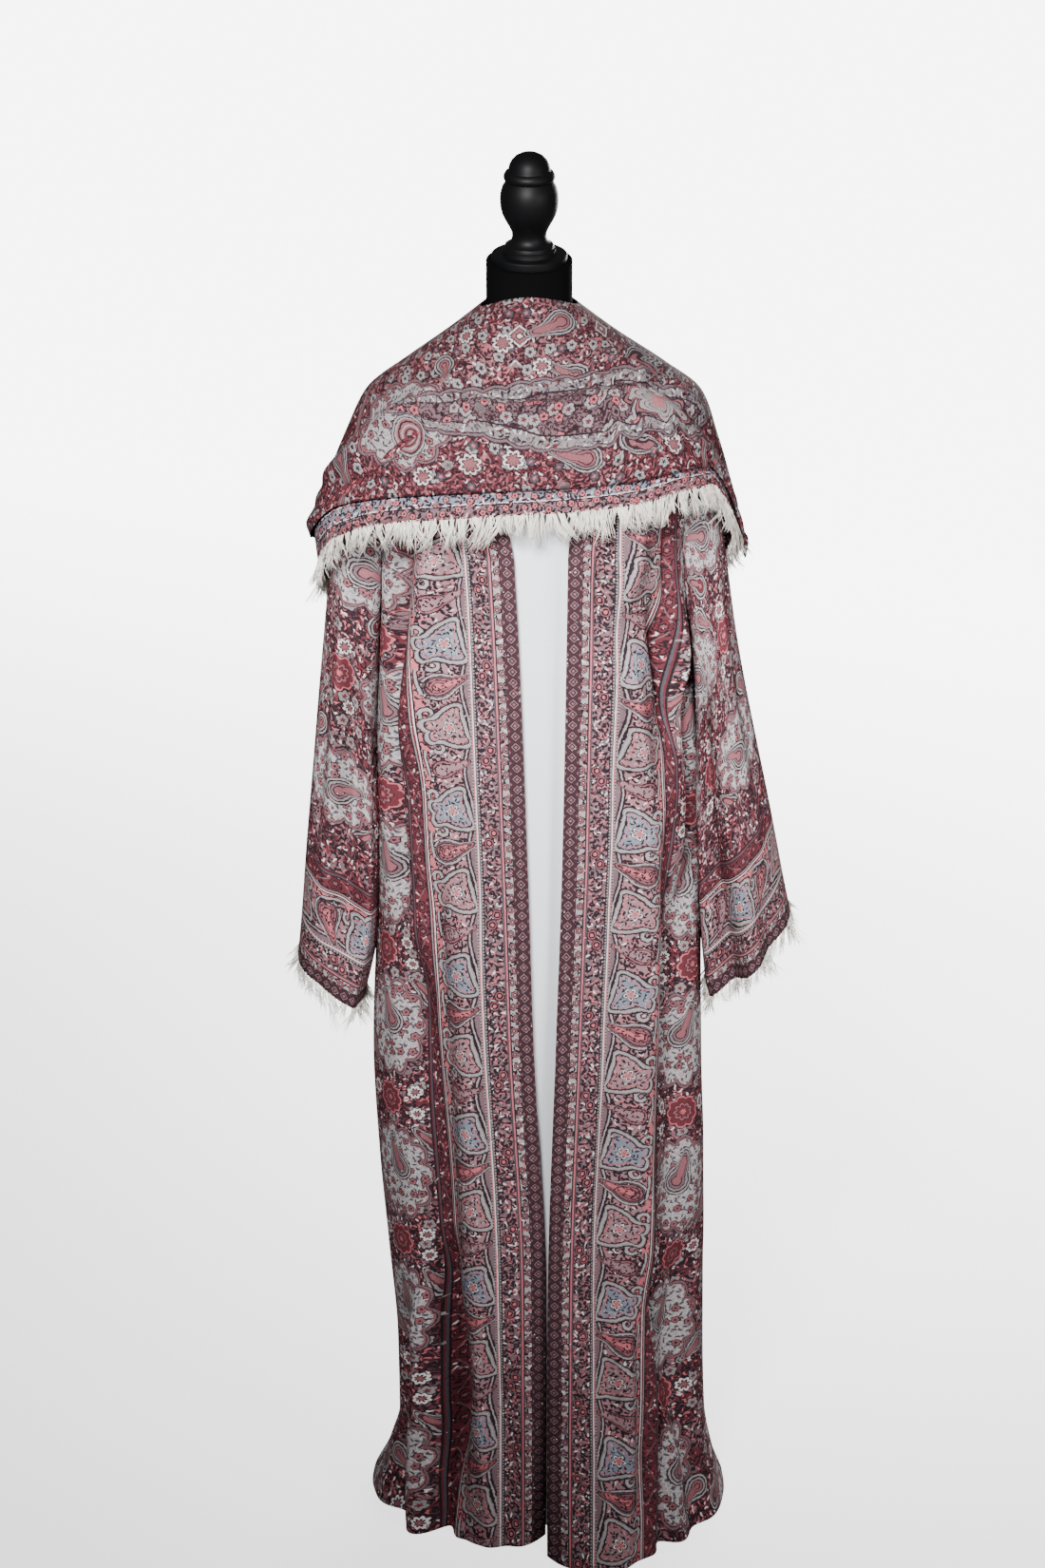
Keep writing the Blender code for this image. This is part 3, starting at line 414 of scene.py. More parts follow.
# Bands of the woven border: where each starts, in from the front edge or the cuff, and what it holds
BANDS = table(
    "start ground leaves florets",
    (0.0000, "maroon", 0.00, 0.0),
    (0.0164, "night", 0.00, 0.0),
    (0.0174, "ash", 0.45, 0.9),
    (0.0254, "night", 0.00, 0.0),
    (0.0264, "slate", 0.00, 0.0),
    (0.0274, "salmon", 0.00, 0.0),
    (0.0290, "night", 0.00, 0.0),
    (0.0300, "slate", 0.00, 0.0),
    (0.0312, "mauve", 1.00, 0.0),
    (0.0516, "night", 0.00, 0.0),
    (0.0526, "grey", 0.00, 0.0),
    (0.0548, "slate", 0.00, 0.0),
    (0.0558, "pale", 0.00, 0.0),
    (0.0572, "salmon", 0.00, 0.0),
    (0.0584, "grey", 0.00, 0.0),
    (0.0606, "blush", 0.72, 0.0),
    (0.1180, "night", 0.00, 0.0),
    (0.1190, "pale", 0.00, 0.0),
    (0.1203, "crimson", 0.00, 0.0),
    (0.1221, "grey", 0.00, 0.0),
    (0.1236, "night", 0.00, 0.0),
    (0.1246, "crimson", 0.45, 0.0),
    (0.1410, "night", 0.00, 0.0),
    (0.1424, "slate", 0.00, 0.0),
    (0.1440, "crimson", 0.00, 0.0),
    (0.1454, "night", 0.00, 0.0),
    (0.1472, "crimson", 0.75, 0.0),
)
RAMP_SPAN = 0.16
BORDER_WIDTH = 0.1472  # where the border ends and the field of medallions starts on the fronts
LEFT_SHIFT = 0.02  # how far the left front's pattern lies below the right one's
BACK_SHIFT = 0.30  # how far in from a front edge the back's first edge counts
BACK_FIELD = 0.20  # where the field's columns are counted from on the back and on the sleeves
SLEEVE_FIELD = 0.205
LEAF_BAND = (0.0414, 0.0101)  # middle and half width of three of these bands
CHAIN_BAND = (0.0893, 0.0287)
RED_BAND = (0.1333, 0.0086)
CHAIN_PITCH = 0.100  # from one cartouche of the border to the next
CHAIN_LINE = 0.0885  # their middle, in from the front edge
FIELD_WIDTH = 0.132  # width of one column of medallions in the field
FIELD_PITCH = 0.190  # from one medallion to the next in a column

# The weave: threads in a metre each way, how finely and how far the pattern's lines wander, and gloss
THREADS = (620.0, 1300.0, 1.0)
WANDER_SCALE = 260.0
WANDER = (0.0020, 0.0020, 0.0)
WEAVE_ROUGHNESS = 0.80
WEAVE_SPECULAR = 0.03

# Thread colours as shares of the light they send back
DYE = {
    "pale": (0.640, 0.580, 0.580),
    "ash": (0.310, 0.278, 0.284),
    "grey": (0.240, 0.205, 0.210),
    "slate": (0.075, 0.062, 0.074),
    "bluegrey": (0.175, 0.190, 0.235),
    "salmon": (0.440, 0.125, 0.142),
    "rose": (0.240, 0.092, 0.104),
    "blush": (0.260, 0.150, 0.165),
    "mauve": (0.155, 0.098, 0.110),
    "crimson": (0.118, 0.028, 0.036),
    "maroon": (0.046, 0.020, 0.025),
    "night": (0.022, 0.014, 0.018),
}

# Leaves strewn over a ground, each layer with the share of its places that are filled
LEAF = "cell length width seed dye share"
GROUND_LEAVES = table(
    LEAF,
    (0.0060, 0.0034, 0.00135, 2.0, "night", 1.10),
    (0.0064, 0.0028, 0.00110, 3.0, "salmon", 0.70),
    (0.0080, 0.0030, 0.00110, 4.0, "pale", 0.50),
    (0.0066, 0.0036, 0.00125, 5.0, "night", 1.00),
)
SHAWL_LEAVES = table(
    LEAF,
    (0.0074, 0.0030, 0.00115, 3.0, "salmon", 0.60),
    (0.0062, 0.0036, 0.00130, 2.0, "night", 1.00),
    (0.0078, 0.0036, 0.00120, 5.0, "maroon", 0.90),
    (0.0092, 0.0030, 0.00110, 4.0, "pale", 0.36),
)
BAND_LEAVES = table(
    LEAF,
    (0.0070, 0.0030, 0.0012, 21.0, "slate", 0.80),
    (0.0110, 0.0034, 0.0017, 22.0, "crimson", 0.55),
    (0.0090, 0.0036, 0.0012, 34.0, "night", 0.50),
    (0.0080, 0.0030, 0.0010, 35.0, "pale", 0.45),
)
CARTOUCHE_LEAVES = table(
    LEAF,
    (0.0052, 0.0026, 0.0010, 9.0, "night", 0.90),
    (0.0060, 0.0022, 0.0010, 29.0, "ash", 0.45),
)

# Motif outlines: how far each reaches at an angle from its tip, as a share of its size
CARTOUCHE = table(
    "angle reach",
    (0.0, 0.72), (18.0, 0.74), (34.0, 0.85), (46.0, 1.00), (56.0, 0.94), (70.0, 0.80), (88.0, 0.68),
    (106.0, 0.60), (122.0, 0.58), (136.0, 0.66), (150.0, 0.84), (162.0, 0.82), (180.0, 0.66),
)
BOTEH = table(
    "angle reach",
    (-180.0, 0.46), (-150.0, 0.44), (-120.0, 0.38), (-90.0, 0.33), (-60.0, 0.31), (-35.0, 0.35),
    (-18.0, 0.46), (-6.0, 0.66), (4.0, 0.92), (10.0, 1.00), (15.0, 0.84), (20.0, 0.60),
    (30.0, 0.42), (50.0, 0.33), (75.0, 0.32), (105.0, 0.36), (140.0, 0.43), (180.0, 0.46),
)
LONG_BOTEH = table(
    "angle reach",
    (0.0, 1.02), (30.0, 1.00), (60.0, 0.98), (90.0, 0.95), (110.0, 0.76), (135.0, 0.70), (160.0, 0.78),
    (180.0, 1.00),
)

SHAWL_PAINTED_SHADE_LIFT = 0.16  # painted shade: the shawl's threads are darkened more than the fronts' because the shawl faces the light more than the fronts do
SHAWL_SWAG = 0.85  # how much the levels hang lower at the sides than at the front

# Motifs: on the shawl, x is how far round from the front and y how far down from the neck
MOTIF = "x y size slant dye"
SHAWL_MEDALLIONS = table(
    MOTIF,
    (-0.150, 0.162, 0.050, 0.0, "grey"),
    (-0.310, 0.110, 0.045, 0.0, "grey"),
    (0.320, 0.120, 0.045, 0.0, "grey"),
    (0.460, 0.110, 0.045, 0.0, "grey"),
    (-0.450, 0.120, 0.045, 0.0, "grey"),
)
SHAWL_BOTEHS = table(
    MOTIF,
    (0.034, 0.032, 0.040, 150.0, "rose"),
    (0.050, 0.100, 0.034, 200.0, "mauve"),
    (0.150, 0.082, 0.044, 20.0, "maroon"),
    (-0.105, 0.088, 0.030, 60.0, "rose"),
    (0.060, 0.207, 0.040, 190.0, "rose"),
    (0.120, 0.198, 0.034, 10.0, "maroon"),
    (-0.240, 0.196, 0.036, 70.0, "mauve"),
    (0.250, 0.186, 0.036, 100.0, "mauve"),
)
SHAWL_STARS = table(
    MOTIF,
    (-0.066, 0.214, 0.0135, 0.0, "pale"),
    (-0.018, 0.206, 0.0125, 0.0, "pale"),
    (-0.030, 0.058, 0.0125, 0.0, "pale"),
    (-0.078, 0.046, 0.0110, 0.0, "pale"),
    (0.170, 0.196, 0.0120, 0.0, "pale"),
    (-0.120, 0.222, 0.0120, 0.0, "pale"),
    (0.014, 0.086, 0.0110, 0.0, "pale"),
)
FIELD_STARS = table(
    MOTIF,
    (-0.034, 0.014, 0.0085, 0.0, "pale"),
    (-0.035, -0.014, 0.0080, 0.0, "pale"),
    (0.036, 0.004, 0.0095, 0.0, "pale"),
)
FIELD_BOTEHS = table(
    MOTIF,
    (-0.050, 0.040, 0.030, 40.0, "crimson"),
    (0.050, -0.038, 0.028, 215.0, "rose"),
)
SHAWL_EDGE = table(
    "start ground",
    (0.0000, "rose"), (0.0030, "mauve"), (0.0130, "night"), (0.0145, "pale"), (0.0160, "bluegrey"),
    (0.0310, "night"), (0.0325, "pale"), (0.0350, "crimson"),
)


def smooth_step(value):
    """0 below 0, 1 above 1, and a smooth rise between."""
    held = np.clip(value, 0.0, 1.0)
    return held * held * (3.0 - 2.0 * held)


def smooth_curve(places, values, at):
    """Values between the given ones on a smooth curve that never overshoots them."""
    places, values = np.asarray(places, float), np.asarray(values, float)
    steps = np.diff(places)
    slopes = np.diff(values) / steps
    ends = np.zeros(len(places))
    ends[0], ends[-1] = slopes[0], slopes[-1]
    same_way = slopes[:-1] * slopes[1:] > 0
    total = slopes[:-1] + slopes[1:]
    ends[1:-1][same_way] = 2.0 * slopes[:-1][same_way] * slopes[1:][same_way] / total[same_way]
    at = np.clip(at, places[0], places[-1])
    i = np.clip(np.searchsorted(places, at, side="right") - 1, 0, len(steps) - 1)
    t = (at - places[i]) / steps[i]
    rise = (3.0 - 2.0 * t) * t * t
    start = t * (1.0 - t) ** 2 * ends[i]
    stop = t * t * (t - 1.0) * ends[i + 1]
    return values[i] + rise * (values[i + 1] - values[i]) + steps[i] * (start + stop)


def column(rows, name, at):
    """A named column of a table, read at places along its first column."""
    return smooth_curve([row[0] for row in rows], [getattr(row, name) for row in rows], at)


def section(rows, at):
    """A table's row at a place along its first column, between the given rows."""
    kind = type(rows[0])
    return kind(at, *(float(column(rows, name, at)) for name in kind._fields[1:]))


def running(lengths):
    """Running totals down an array, from 0."""
    return np.concatenate([np.zeros_like(lengths[:1]), np.cumsum(lengths, axis=0)])


def down_cloth(grid):
    """Distance of each point of a grid from its first row, along its column."""
    return running(np.linalg.norm(np.diff(grid, axis=0), axis=2))


def ring_angles(around):
    return np.arange(around) * 2.0 * math.pi / around


def half_turns(degrees):
    """The same angles from -180 up to 180 degrees."""
    return (degrees + 180.0) % 360.0 - 180.0


def signed_power(value, power):
    return np.sign(value) * np.abs(value) ** power


def oval(angle, left, right, front, back, boxiness):
    """A rounded outline seen from above. Angle 0 is the front and a quarter turn the left (+X) side."""
    across, along = np.sin(angle), np.cos(angle)
    x = signed_power(across, 2.0 / boxiness) * np.where(across > 0, left, right)
    y = -signed_power(along, 2.0 / boxiness) * np.where(along > 0, front, back)
    return x, y


def shoulder_height(out):
    return column(SHOULDER, "height", np.abs(out))


def armhole_reach(height):
    share = np.clip((height - YOKE) / ARMHOLE_HALF, -1.0, 1.0)
    return ARMHOLE_DEPTH * np.sqrt(1.0 - share * share)


def soft_waves(a, b, seed):
    """Low uneven swells over two cloth coordinates, about -1 to 1."""
    rng = np.random.default_rng(seed)
    total = np.zeros(np.broadcast(a, b).shape)
    for _ in range(SWELL_WAVES):
        turn, phase = rng.uniform(0.0, 2.0 * math.pi, 2)
        pitch = rng.uniform(*SWELL_PITCH)
        stretch = rng.uniform(*SWELL_STRETCH)
        total += np.sin(2.0 * math.pi * (a * math.cos(turn) + b * math.sin(turn) * stretch) / pitch + phase)
    return total / SWELL_PEAK


def fold_offset(panel, height, at):
    """How far in the cloth lies at a height and a distance from the front edge."""
    total = np.zeros_like(at)
    for name, top, at_top, low, at_low, width, depth in FOLDS:
        if name == panel:
            middle = at_low + (at_top - at_low) * (height - low) / (top - low)
            middle += FOLD_SWAY * math.sin(height * SWAY_TURNS + at_low * SWAY_SHIFT)
            fade = smooth_step((top - height) / FOLD_FADE) * smooth_step((height - low) / FOLD_FADE)
            total += FOLD_STRENGTH * depth * fade * np.exp(-(((at - middle) / width) ** 2))
    seed = SEED + ("left", "right", "back").index(panel)
    total += BODY_SWELL * soft_waves(at, np.full_like(at, height), seed)
    return total


def body_row(panel, height, shares):
    """Points of one level of a front or of the back, with their distance from the panel's first edge."""
    value = section(BODY, height)
    middle, power = value.middle, value.boxiness / 2.0
    reach = armhole_reach(height) + SEAM / 2.0
    left, right = value.left - middle, value.right + middle
    if panel == "back":
        depth = value.back
        turn = math.acos(min(1.0, (reach / depth) ** power))
        angles = math.pi + np.linspace(-turn, turn, FINE_STEPS)
    else:
        sign = 1.0 if panel == "left" else -1.0
        depth, side = (value.front_left, left) if sign > 0 else (value.front_right, right)
        edge = sign * (column(EDGE, panel, height) - middle)
        start = math.asin(min(1.0, max(0.0, edge / side)) ** power)
        stop = math.acos(min(1.0, (reach / depth) ** power))
        angles = sign * np.linspace(start, stop, FINE_STEPS)
    x, y = oval(angles, left, right, depth, value.back, value.boxiness)
    x = x + middle
    run = running(np.hypot(np.diff(x), np.diff(y)))
    at = shares * run[-1]
    turned_left = -1.0 if panel == "right" else 1.0
    tangent = np.stack([np.gradient(x), np.gradient(y)])
    outward = np.stack([tangent[1], -tangent[0]]) * turned_left / np.linalg.norm(tangent, axis=0)
    outward = np.stack([np.interp(at, run, outward[0]), np.interp(at, run, outward[1])])
    x, y = np.interp(at, run, x), np.interp(at, run, y)
    fade = smooth_step(at / EDGE_FADE) * smooth_step((run[-1] - at) / SEAM_FADE)
    inward = fold_offset(panel, height, at) * fade
    x, y = x - outward[0] * inward, y - outward[1] * inward
    if panel != "back":
        curl = column(EDGE, "curl", height)
        y = y + curl * (1.0 - np.clip(at / CURL_WIDTH, 0.0, 1.0)) ** 2
    return np.stack([x, y, np.full_like(x, height)], axis=1), at


def yoke_row(panel, rise, shares):
    """Points of one row between YOKE (rise 0) and the shoulder seam or back neckline (rise 1)."""
    start, at = body_row(panel, YOKE, shares)
    if panel == "back":
        top_x = (1.0 - 2.0 * shares) * SHOULDER_TIP
        top_y = np.sqrt(np.maximum(0.0, NECK_SIDE**2 - top_x**2)) + SEAM / 2.0
        edge = np.abs(2.0 * shares - 1.0)
    else:
        sign = 1.0 if panel == "left" else -1.0
        top_x = sign * (NECK_SIDE + (SHOULDER_TIP - NECK_SIDE) * shares)
        top_y = np.full_like(top_x, -SEAM / 2.0)
        edge = shares
    top_z = shoulder_height(np.maximum(np.abs(top_x), NECK_SIDE)) + SEAM_RISE
    power = 2.0 + (0.0 if panel == "back" else NECK_FULLNESS) * (1.0 - edge**3)
    closing = np.maximum(0.0, 1.0 - rise**power) ** (1.0 / power)
    x = start[:, 0] + (top_x - start[:, 0]) * rise
    y = top_y + (start[:, 1] - top_y) * closing
    z = YOKE + (top_z - YOKE) * rise
    return np.stack([x, y, z], axis=1), at


def panel_grid(panel, heights, rises, shares):
    """The outer face of a front or of the back with its cloth coordinates."""
    rows = [body_row(panel, height, shares) for height in heights]
    rows += [yoke_row(panel, rise, shares) for rise in rises]
    grid = np.stack([row[0] for row in rows])
    at = np.stack([row[1] for row in rows])
    return grid, at, np.repeat(down_cloth(grid)[:, :1], grid.shape[1], axis=1)


def armhole_loop(side, angles):
    """The body's armhole edge. Angle 0 is the shoulder tip and a quarter turn the front of the armhole."""
    sign = 1.0 if side == "left" else -1.0
    points = []
    for angle in angles:
        height = YOKE + ARMHOLE_HALF * math.cos(angle)
        panel = side if math.sin(angle) >= 0 else "back"
        share = 0.0 if panel == "back" and sign > 0 else 1.0
        if height > YOKE:
            tip = shoulder_height(np.array([SHOULDER_TIP]))[0] + SEAM_RISE
            row, _ = yoke_row(panel, (height - YOKE) / ARMHOLE_HALF, np.array([share, share]))
            row[0][2] = YOKE + (tip - YOKE) * (height - YOKE) / ARMHOLE_HALF
            points.append(row[0])
        else:
            row, _ = body_row(panel, height, np.array([0.0, 1.0]))
            points.append(row[-1] if share > 0 else row[0])
    points = np.array(points)
    points[:, 0] += sign * SEAM
    return points


def sleeve_ring(value, angles, sign):
    """One ring of a sleeve between its overarm and underarm lines."""
    over = np.array([sign * value.over, value.over_height])
    under = np.array([sign * value.under, value.under_height])
    middle, half = (over + under) / 2.0, (over - under) / 2.0
    lift = signed_power(np.cos(angles), 2.0 / value.boxiness)
    reach = signed_power(np.sin(angles), 2.0 / value.boxiness)
    y = -reach * np.where(reach > 0, value.front, value.back)
    return np.stack([middle[0] + half[0] * lift, y, middle[1] + half[1] * lift], axis=1)


def sleeve_grid(side, steps, around):
    """The outer face of a sleeve, from the armhole to the cuff, as closed rings of points."""
    rows, sign = (SLEEVE_LEFT, 1.0) if side == "left" else (SLEEVE_RIGHT, -1.0)
    angles = ring_angles(around)
    armhole = armhole_loop(side, angles)
    start = sleeve_ring(rows[0], angles, sign)
    rings = []
    for along in steps:
        ring = sleeve_ring(section(rows, along), angles, sign)
        inward = ring.mean(axis=0) - ring
        inward /= np.linalg.norm(inward, axis=1)[:, None]
        offset = np.zeros(around)
        for name, angle, begin, stop, width, depth in SLEEVE_FOLDS:
            if name == side:
                apart = half_turns(np.degrees(angles) - angle)
                fade = smooth_step((along - begin) / SLEEVE_FOLD_RISE)
                fade = fade * smooth_step((stop - along) / SLEEVE_FOLD_FALL)
                offset += FOLD_STRENGTH * depth * fade * np.exp(-((apart / width) ** 2))
        down = np.sin(angles) * SLEEVE_RADIUS + along * SLEEVE_LENGTH
        swell = soft_waves(np.cos(angles) * SLEEVE_RADIUS, down, SLEEVE_SEED)
        offset += SLEEVE_SWELL * swell * smooth_step(along / SLEEVE_SWELL_START)
        leave = 1.0 - smooth_step(along / ARMHOLE_BLEND)
        rings.append(ring + inward * offset[:, None] + (armhole - start) * leave)
    return np.stack(rings)


def shawl_point(along, angles, inset):
    """Points of the shawl's outer face at one step out from the neck, moved in by inset."""
    value = section(SHAWL, along)
    reaches = (reach - inset for reach in (value.left, value.right, value.front, value.back))
    x, y = oval(angles, *reaches, value.boxiness)
    side = np.where(np.sin(angles) > 0, value.left_height, value.right_height)
    end = np.where(np.cos(angles) > 0, value.front_height, value.back_height)
    z = end + (side - end) * np.sin(angles) ** 2
    return np.stack([x, y, z], axis=1)


def shawl_grid(layer, around, rows, start=0.0, inset=0.0):
    """The outer face of a layer of the shawl as closed rings, cut off at the layer's lower edge."""
    angles = ring_angles(around)
    hem = column(SHAWL_HEMS, layer, half_turns(np.degrees(angles)))
    fine = np.linspace(start, 1.0, SHAWL_STEPS)
    surface = np.stack([shawl_point(along, angles, inset) for along in fine])
    grid = np.empty((rows + 1, around, 3))
    for j in range(around):
        stop = np.interp(-hem[j], -surface[:, j, 2], fine)
        at = start + (stop - start) * np.linspace(0.0, 1.0, rows + 1)
        for axis in range(3):
            grid[:, j, axis] = np.interp(at, fine, surface[:, j, axis])
    return grid, np.degrees(angles)


def grid_normals(grid, closed):
    """Unit normals of a grid of points, whose columns may close into a ring."""
    if closed:
        across = np.roll(grid, -1, axis=1) - np.roll(grid, 1, axis=1)
    else:
        across = np.gradient(grid, axis=1)
    down = np.gradient(grid, axis=0)
    normals = np.cross(across, down)
    return normals / np.maximum(np.linalg.norm(normals, axis=2), 1e-12)[:, :, None]


def far_from_path(points, path):
    """Distance from each point to an open path."""
    best = np.full(len(points), np.inf)
    for a, b in zip(path[:-1], path[1:]):
        run = b - a
        share = np.clip(((points - a) @ run) / max(run @ run, 1e-12), 0.0, 1.0)
        best = np.minimum(best, np.linalg.norm(points - a - share[:, None] * run, axis=1))
    return best


def rounded(points, parts=4):
    """An open path through the given points with its corners rounded."""
    points = np.asarray(points, float)
    padded = np.concatenate([points[:1], points, points[-1:]])
    result = []
    for before, here, after, beyond in zip(padded, padded[1:], padded[2:], padded[3:]):
        for t in np.arange(parts) / parts:
            bend = 2.0 * before - 5.0 * here + 4.0 * after - beyond
            twist = 3.0 * here - before - 3.0 * after + beyond
            result.append(0.5 * (2.0 * here + (after - before) * t + bend * t * t + twist * t**3))
    return np.array(result + [points[-1]])


def add_object(name, data):
    made = bpy.data.objects.new(name, data)
    bpy.context.scene.collection.objects.link(made)
    return made


def add_mesh(name, points, faces, smooth=True):
    mesh = bpy.data.meshes.new(name)
    mesh.from_pydata(points, [], faces)
    mesh.update()
    if smooth:
        mesh.shade_smooth()
    made = add_object(name, mesh)
    return made


def face_corners(rows, columns, closed):
    """The corners of a grid's faces: two of the upper row, then the two below them."""
    last = columns if closed else columns - 1
    i, j = (part.ravel() for part in np.meshgrid(np.arange(rows - 1), np.arange(last), indexing="ij"))
    a, b = i * columns + j, i * columns + (j + 1) % columns
    return a, b, a + columns, b + columns


def cloth_mesh(name, grid, coords, closed=False, outward=1.0, flat_edges=(), seam=None):
    """A thin cloth shell from its outer grid, with cloth coordinates on its corners.

    coords holds (in from the edge, along the edge, start of the field) for each point of the grid, and
    seam gives the column where a closed ring's coordinates jump, with those of its far side.
    """
    normals = grid_normals(grid, closed) * outward
    edges = {
        "first_row": (0, slice(None)),
        "last_row": (-1, slice(None)),
        "first_column": (slice(None), 0),
        "last_column": (slice(None), -1),
    }
    for edge, axis in flat_edges:
        part = normals[edges[edge]]
        part[:, axis] = 0.0
        normals[edges[edge]] = part / np.maximum(np.linalg.norm(part, axis=1), 1e-9)[:, None]
    rows, columns = grid.shape[:2]
    points = np.concatenate([grid.reshape(-1, 3), (grid - normals * WALL).reshape(-1, 3)])
    inner = rows * columns
    a, b, c, d = face_corners(rows, columns, closed)
    quads = [(a, b, d, c), (inner + a, inner + c, inner + d, inner + b)]
    j = np.arange(columns if closed else columns - 1)
    k = (j + 1) % columns
    quads.append((j, inner + j, inner + k, k))
    c, d = (rows - 1) * columns + j, (rows - 1) * columns + k
    quads.append((c, d, inner + d, inner + c))
    if not closed:
        a = np.arange(rows - 1) * columns
        c = a + columns
        quads.append((a, c, inner + c, inner + a))
        b, d = a + columns - 1, c + columns - 1
        quads.append((b, inner + b, inner + d, d))
    quads = np.concatenate([np.stack(corners, 1) for corners in quads])
    p = points[quads]
    if np.einsum("ij,ij->", p[:, 0], np.cross(p[:, 1] - p[:, 0], p[:, 2] - p[:, 0])) < 0:
        quads = quads[:, ::-1]
    made = add_mesh(name, points, quads.tolist())
    if coords is not None:
        corners = quads.ravel() % inner
        values = coords.reshape(-1, 3)[corners].copy()
        if seam is not None:
            first, far_side = seam
            ring = corners % columns
            low, high = ring.reshape(-1, 4).min(axis=1), ring.reshape(-1, 4).max(axis=1)
            across = (low == first - 1) & (high == first)
            wraps = np.repeat(across, 4) & (ring < first)
            values[wraps] = far_side.reshape(-1, 3)[corners[wraps]]
        layer = made.data.attributes.new("cloth", "FLOAT_VECTOR", "CORNER")
        layer.data.foreach_set("vector", values.astype(np.float32).ravel())
    return made


class Graph:
    """Short calls for building a material's nodes, in its own tree or in a group."""

    def __init__(self, name, tree=None):
        if tree is None:
            self.material = bpy.data.materials.new(name)
            self.material.use_nodes = True
            tree = self.material.node_tree
        self.tree = tree
        self.shader = tree.nodes.get("Principled BSDF")
        self.colour = None

    def node(self, kind, **settings):
        made = self.tree.nodes.new(kind)
        for key, value in settings.items():
            setattr(made, key, value)
        return made

    def plug(self, value, socket):
        if isinstance(value, bpy.types.NodeSocket):
            self.tree.links.new(value, socket)
        elif isinstance(value, (tuple, list)) and len(value) == 3 and len(socket.default_value) == 4:
            socket.default_value = (*value, 1.0)
        else:
            socket.default_value = value

    def region(self, name, paint, **given):
        """Paint a part of the pattern in a node group, which is made once for each name."""
        kinds = {"VALUE": "NodeSocketFloat", "VECTOR": "NodeSocketVector", "RGBA": "NodeSocketColor"}
        wires = {"colour": self.colour, **given}
        wires = {key: DYE[wire] if isinstance(wire, str) else wire for key, wire in wires.items()}
        tree = bpy.data.node_groups.get(name)
        if tree is None:
            tree = bpy.data.node_groups.new(name, "ShaderNodeTree")
            for key, wire in wires.items():
                kind = "RGBA" if isinstance(wire, tuple) else getattr(wire, "type", "VALUE")
                tree.interface.new_socket(name=key, in_out="INPUT", socket_type=kinds[kind])
            tree.interface.new_socket(name="colour", in_out="OUTPUT", socket_type="NodeSocketColor")
            inner = Graph(name, tree)
            ends = inner.node("NodeGroupInput").outputs
            inner.colour = ends["colour"]
            paint(inner, **{key: ends[key] for key in given})
            inner.plug(inner.colour, inner.node("NodeGroupOutput").inputs["colour"])
        holder = self.node("ShaderNodeGroup", node_tree=tree)
        for key, wire in wires.items():
            self.plug(wire, holder.inputs[key])
        self.colour = holder.outputs["colour"]

    def fed(self, made, *values):
        """A node's first output, with values plugged into its inputs in order."""
        for value, socket in zip(values, made.inputs):
            self.plug(value, socket)
        return made.outputs[0]

    def math(self, operation, *values):
        return self.fed(self.node("ShaderNodeMath", operation=operation), *values)

    def chained(self, operation, values):
        result = values[0]
        for value in values[1:]:
            result = self.math(operation, result, value)
        return result

    def total(self, *values):
        return self.chained("ADD", values)

    def times(self, *values):
        return self.chained("MULTIPLY", values)

    def less(self, value, amount):
        return self.math("SUBTRACT", value, amount)

    def over(self, value, amount):
        return self.math("DIVIDE", value, amount)

    def absolute(self, value):
        return self.math("ABSOLUTE", value)

    def sine(self, value, pitch, size, shift=0.0):
        """A wave of the given pitch and size along a value."""
        turn = self.total(self.times(value, 2.0 * math.pi / pitch), shift)
        return self.times(self.math("SINE", turn), size)

    def vector(self, operation, *values):
        return self.fed(self.node("ShaderNodeVectorMath", operation=operation), *values)

    def pair(self, x, y):
        return self.fed(self.node("ShaderNodeCombineXYZ"), x, y)

    def above(self, value, edge, soft=0.00025):
        """1 where value is above edge, 0 below, with a narrow soft step."""
        made = self.node("ShaderNodeMapRange")
        self.plug(value, made.inputs["Value"])
        made.inputs["From Min"].default_value = edge - soft
        made.inputs["From Max"].default_value = edge + soft
        return made.outputs[0]

    def below(self, value, edge, soft=0.00025):
        """0 where value is above edge, 1 below."""
        return self.above(value, edge, -soft)

    def line(self, value, middle, half, soft=0.00035):
        """1 within half of the middle value, 0 beyond."""
        away = self.absolute(self.less(value, middle))
        return self.below(away, half, soft)

    def blend(self, share, under, over, mode="MIX"):
        made = self.node("ShaderNodeMix", data_type="RGBA", blend_type=mode)
        self.plug(share, made.inputs["Factor"])
        self.plug(under, made.inputs[6])
        self.plug(over, made.inputs[7])
        return made.outputs[2]

    def choose(self, share, under, over):
        """A mix of two vectors, which may hold negative values."""
        made = self.node("ShaderNodeMix", data_type="VECTOR")
        for value, socket in zip((share, under, over), (made.inputs[0], made.inputs[4], made.inputs[5])):
            self.plug(value, socket)
        return made.outputs[1]

    def paint(self, dye, *shares):
        """Lay a thread colour over the pattern so far, where all the shares are 1."""
        self.colour = self.blend(self.times(*shares), self.colour, DYE[dye] if isinstance(dye, str) else dye)

    def ramp(self, value, stops, step=True):
        made = self.node("ShaderNodeValToRGB")
        made.color_ramp.interpolation = "CONSTANT" if step else "LINEAR"
        elements = made.color_ramp.elements
        while len(elements) > 1:
            elements.remove(elements[0])
        elements[0].position = stops[0][0]
        elements[0].color = (*stops[0][1], 1.0)
        for place, colour in stops[1:]:
            elements.new(place).color = (*colour, 1.0)
        self.plug(value, made.inputs[0])
        return made.outputs[0]

    def noise_node(self, place, scale, detail, dimensions="2D"):
        made = self.node("ShaderNodeTexNoise", noise_dimensions=dimensions)
        self.plug(place, made.inputs["Vector"])
        self.plug(scale, made.inputs["Scale"])
        made.inputs["Detail"].default_value = detail
        return made

    def noise(self, place, scale, detail=1.0):
        return self.noise_node(place, scale, detail).outputs["Fac"]

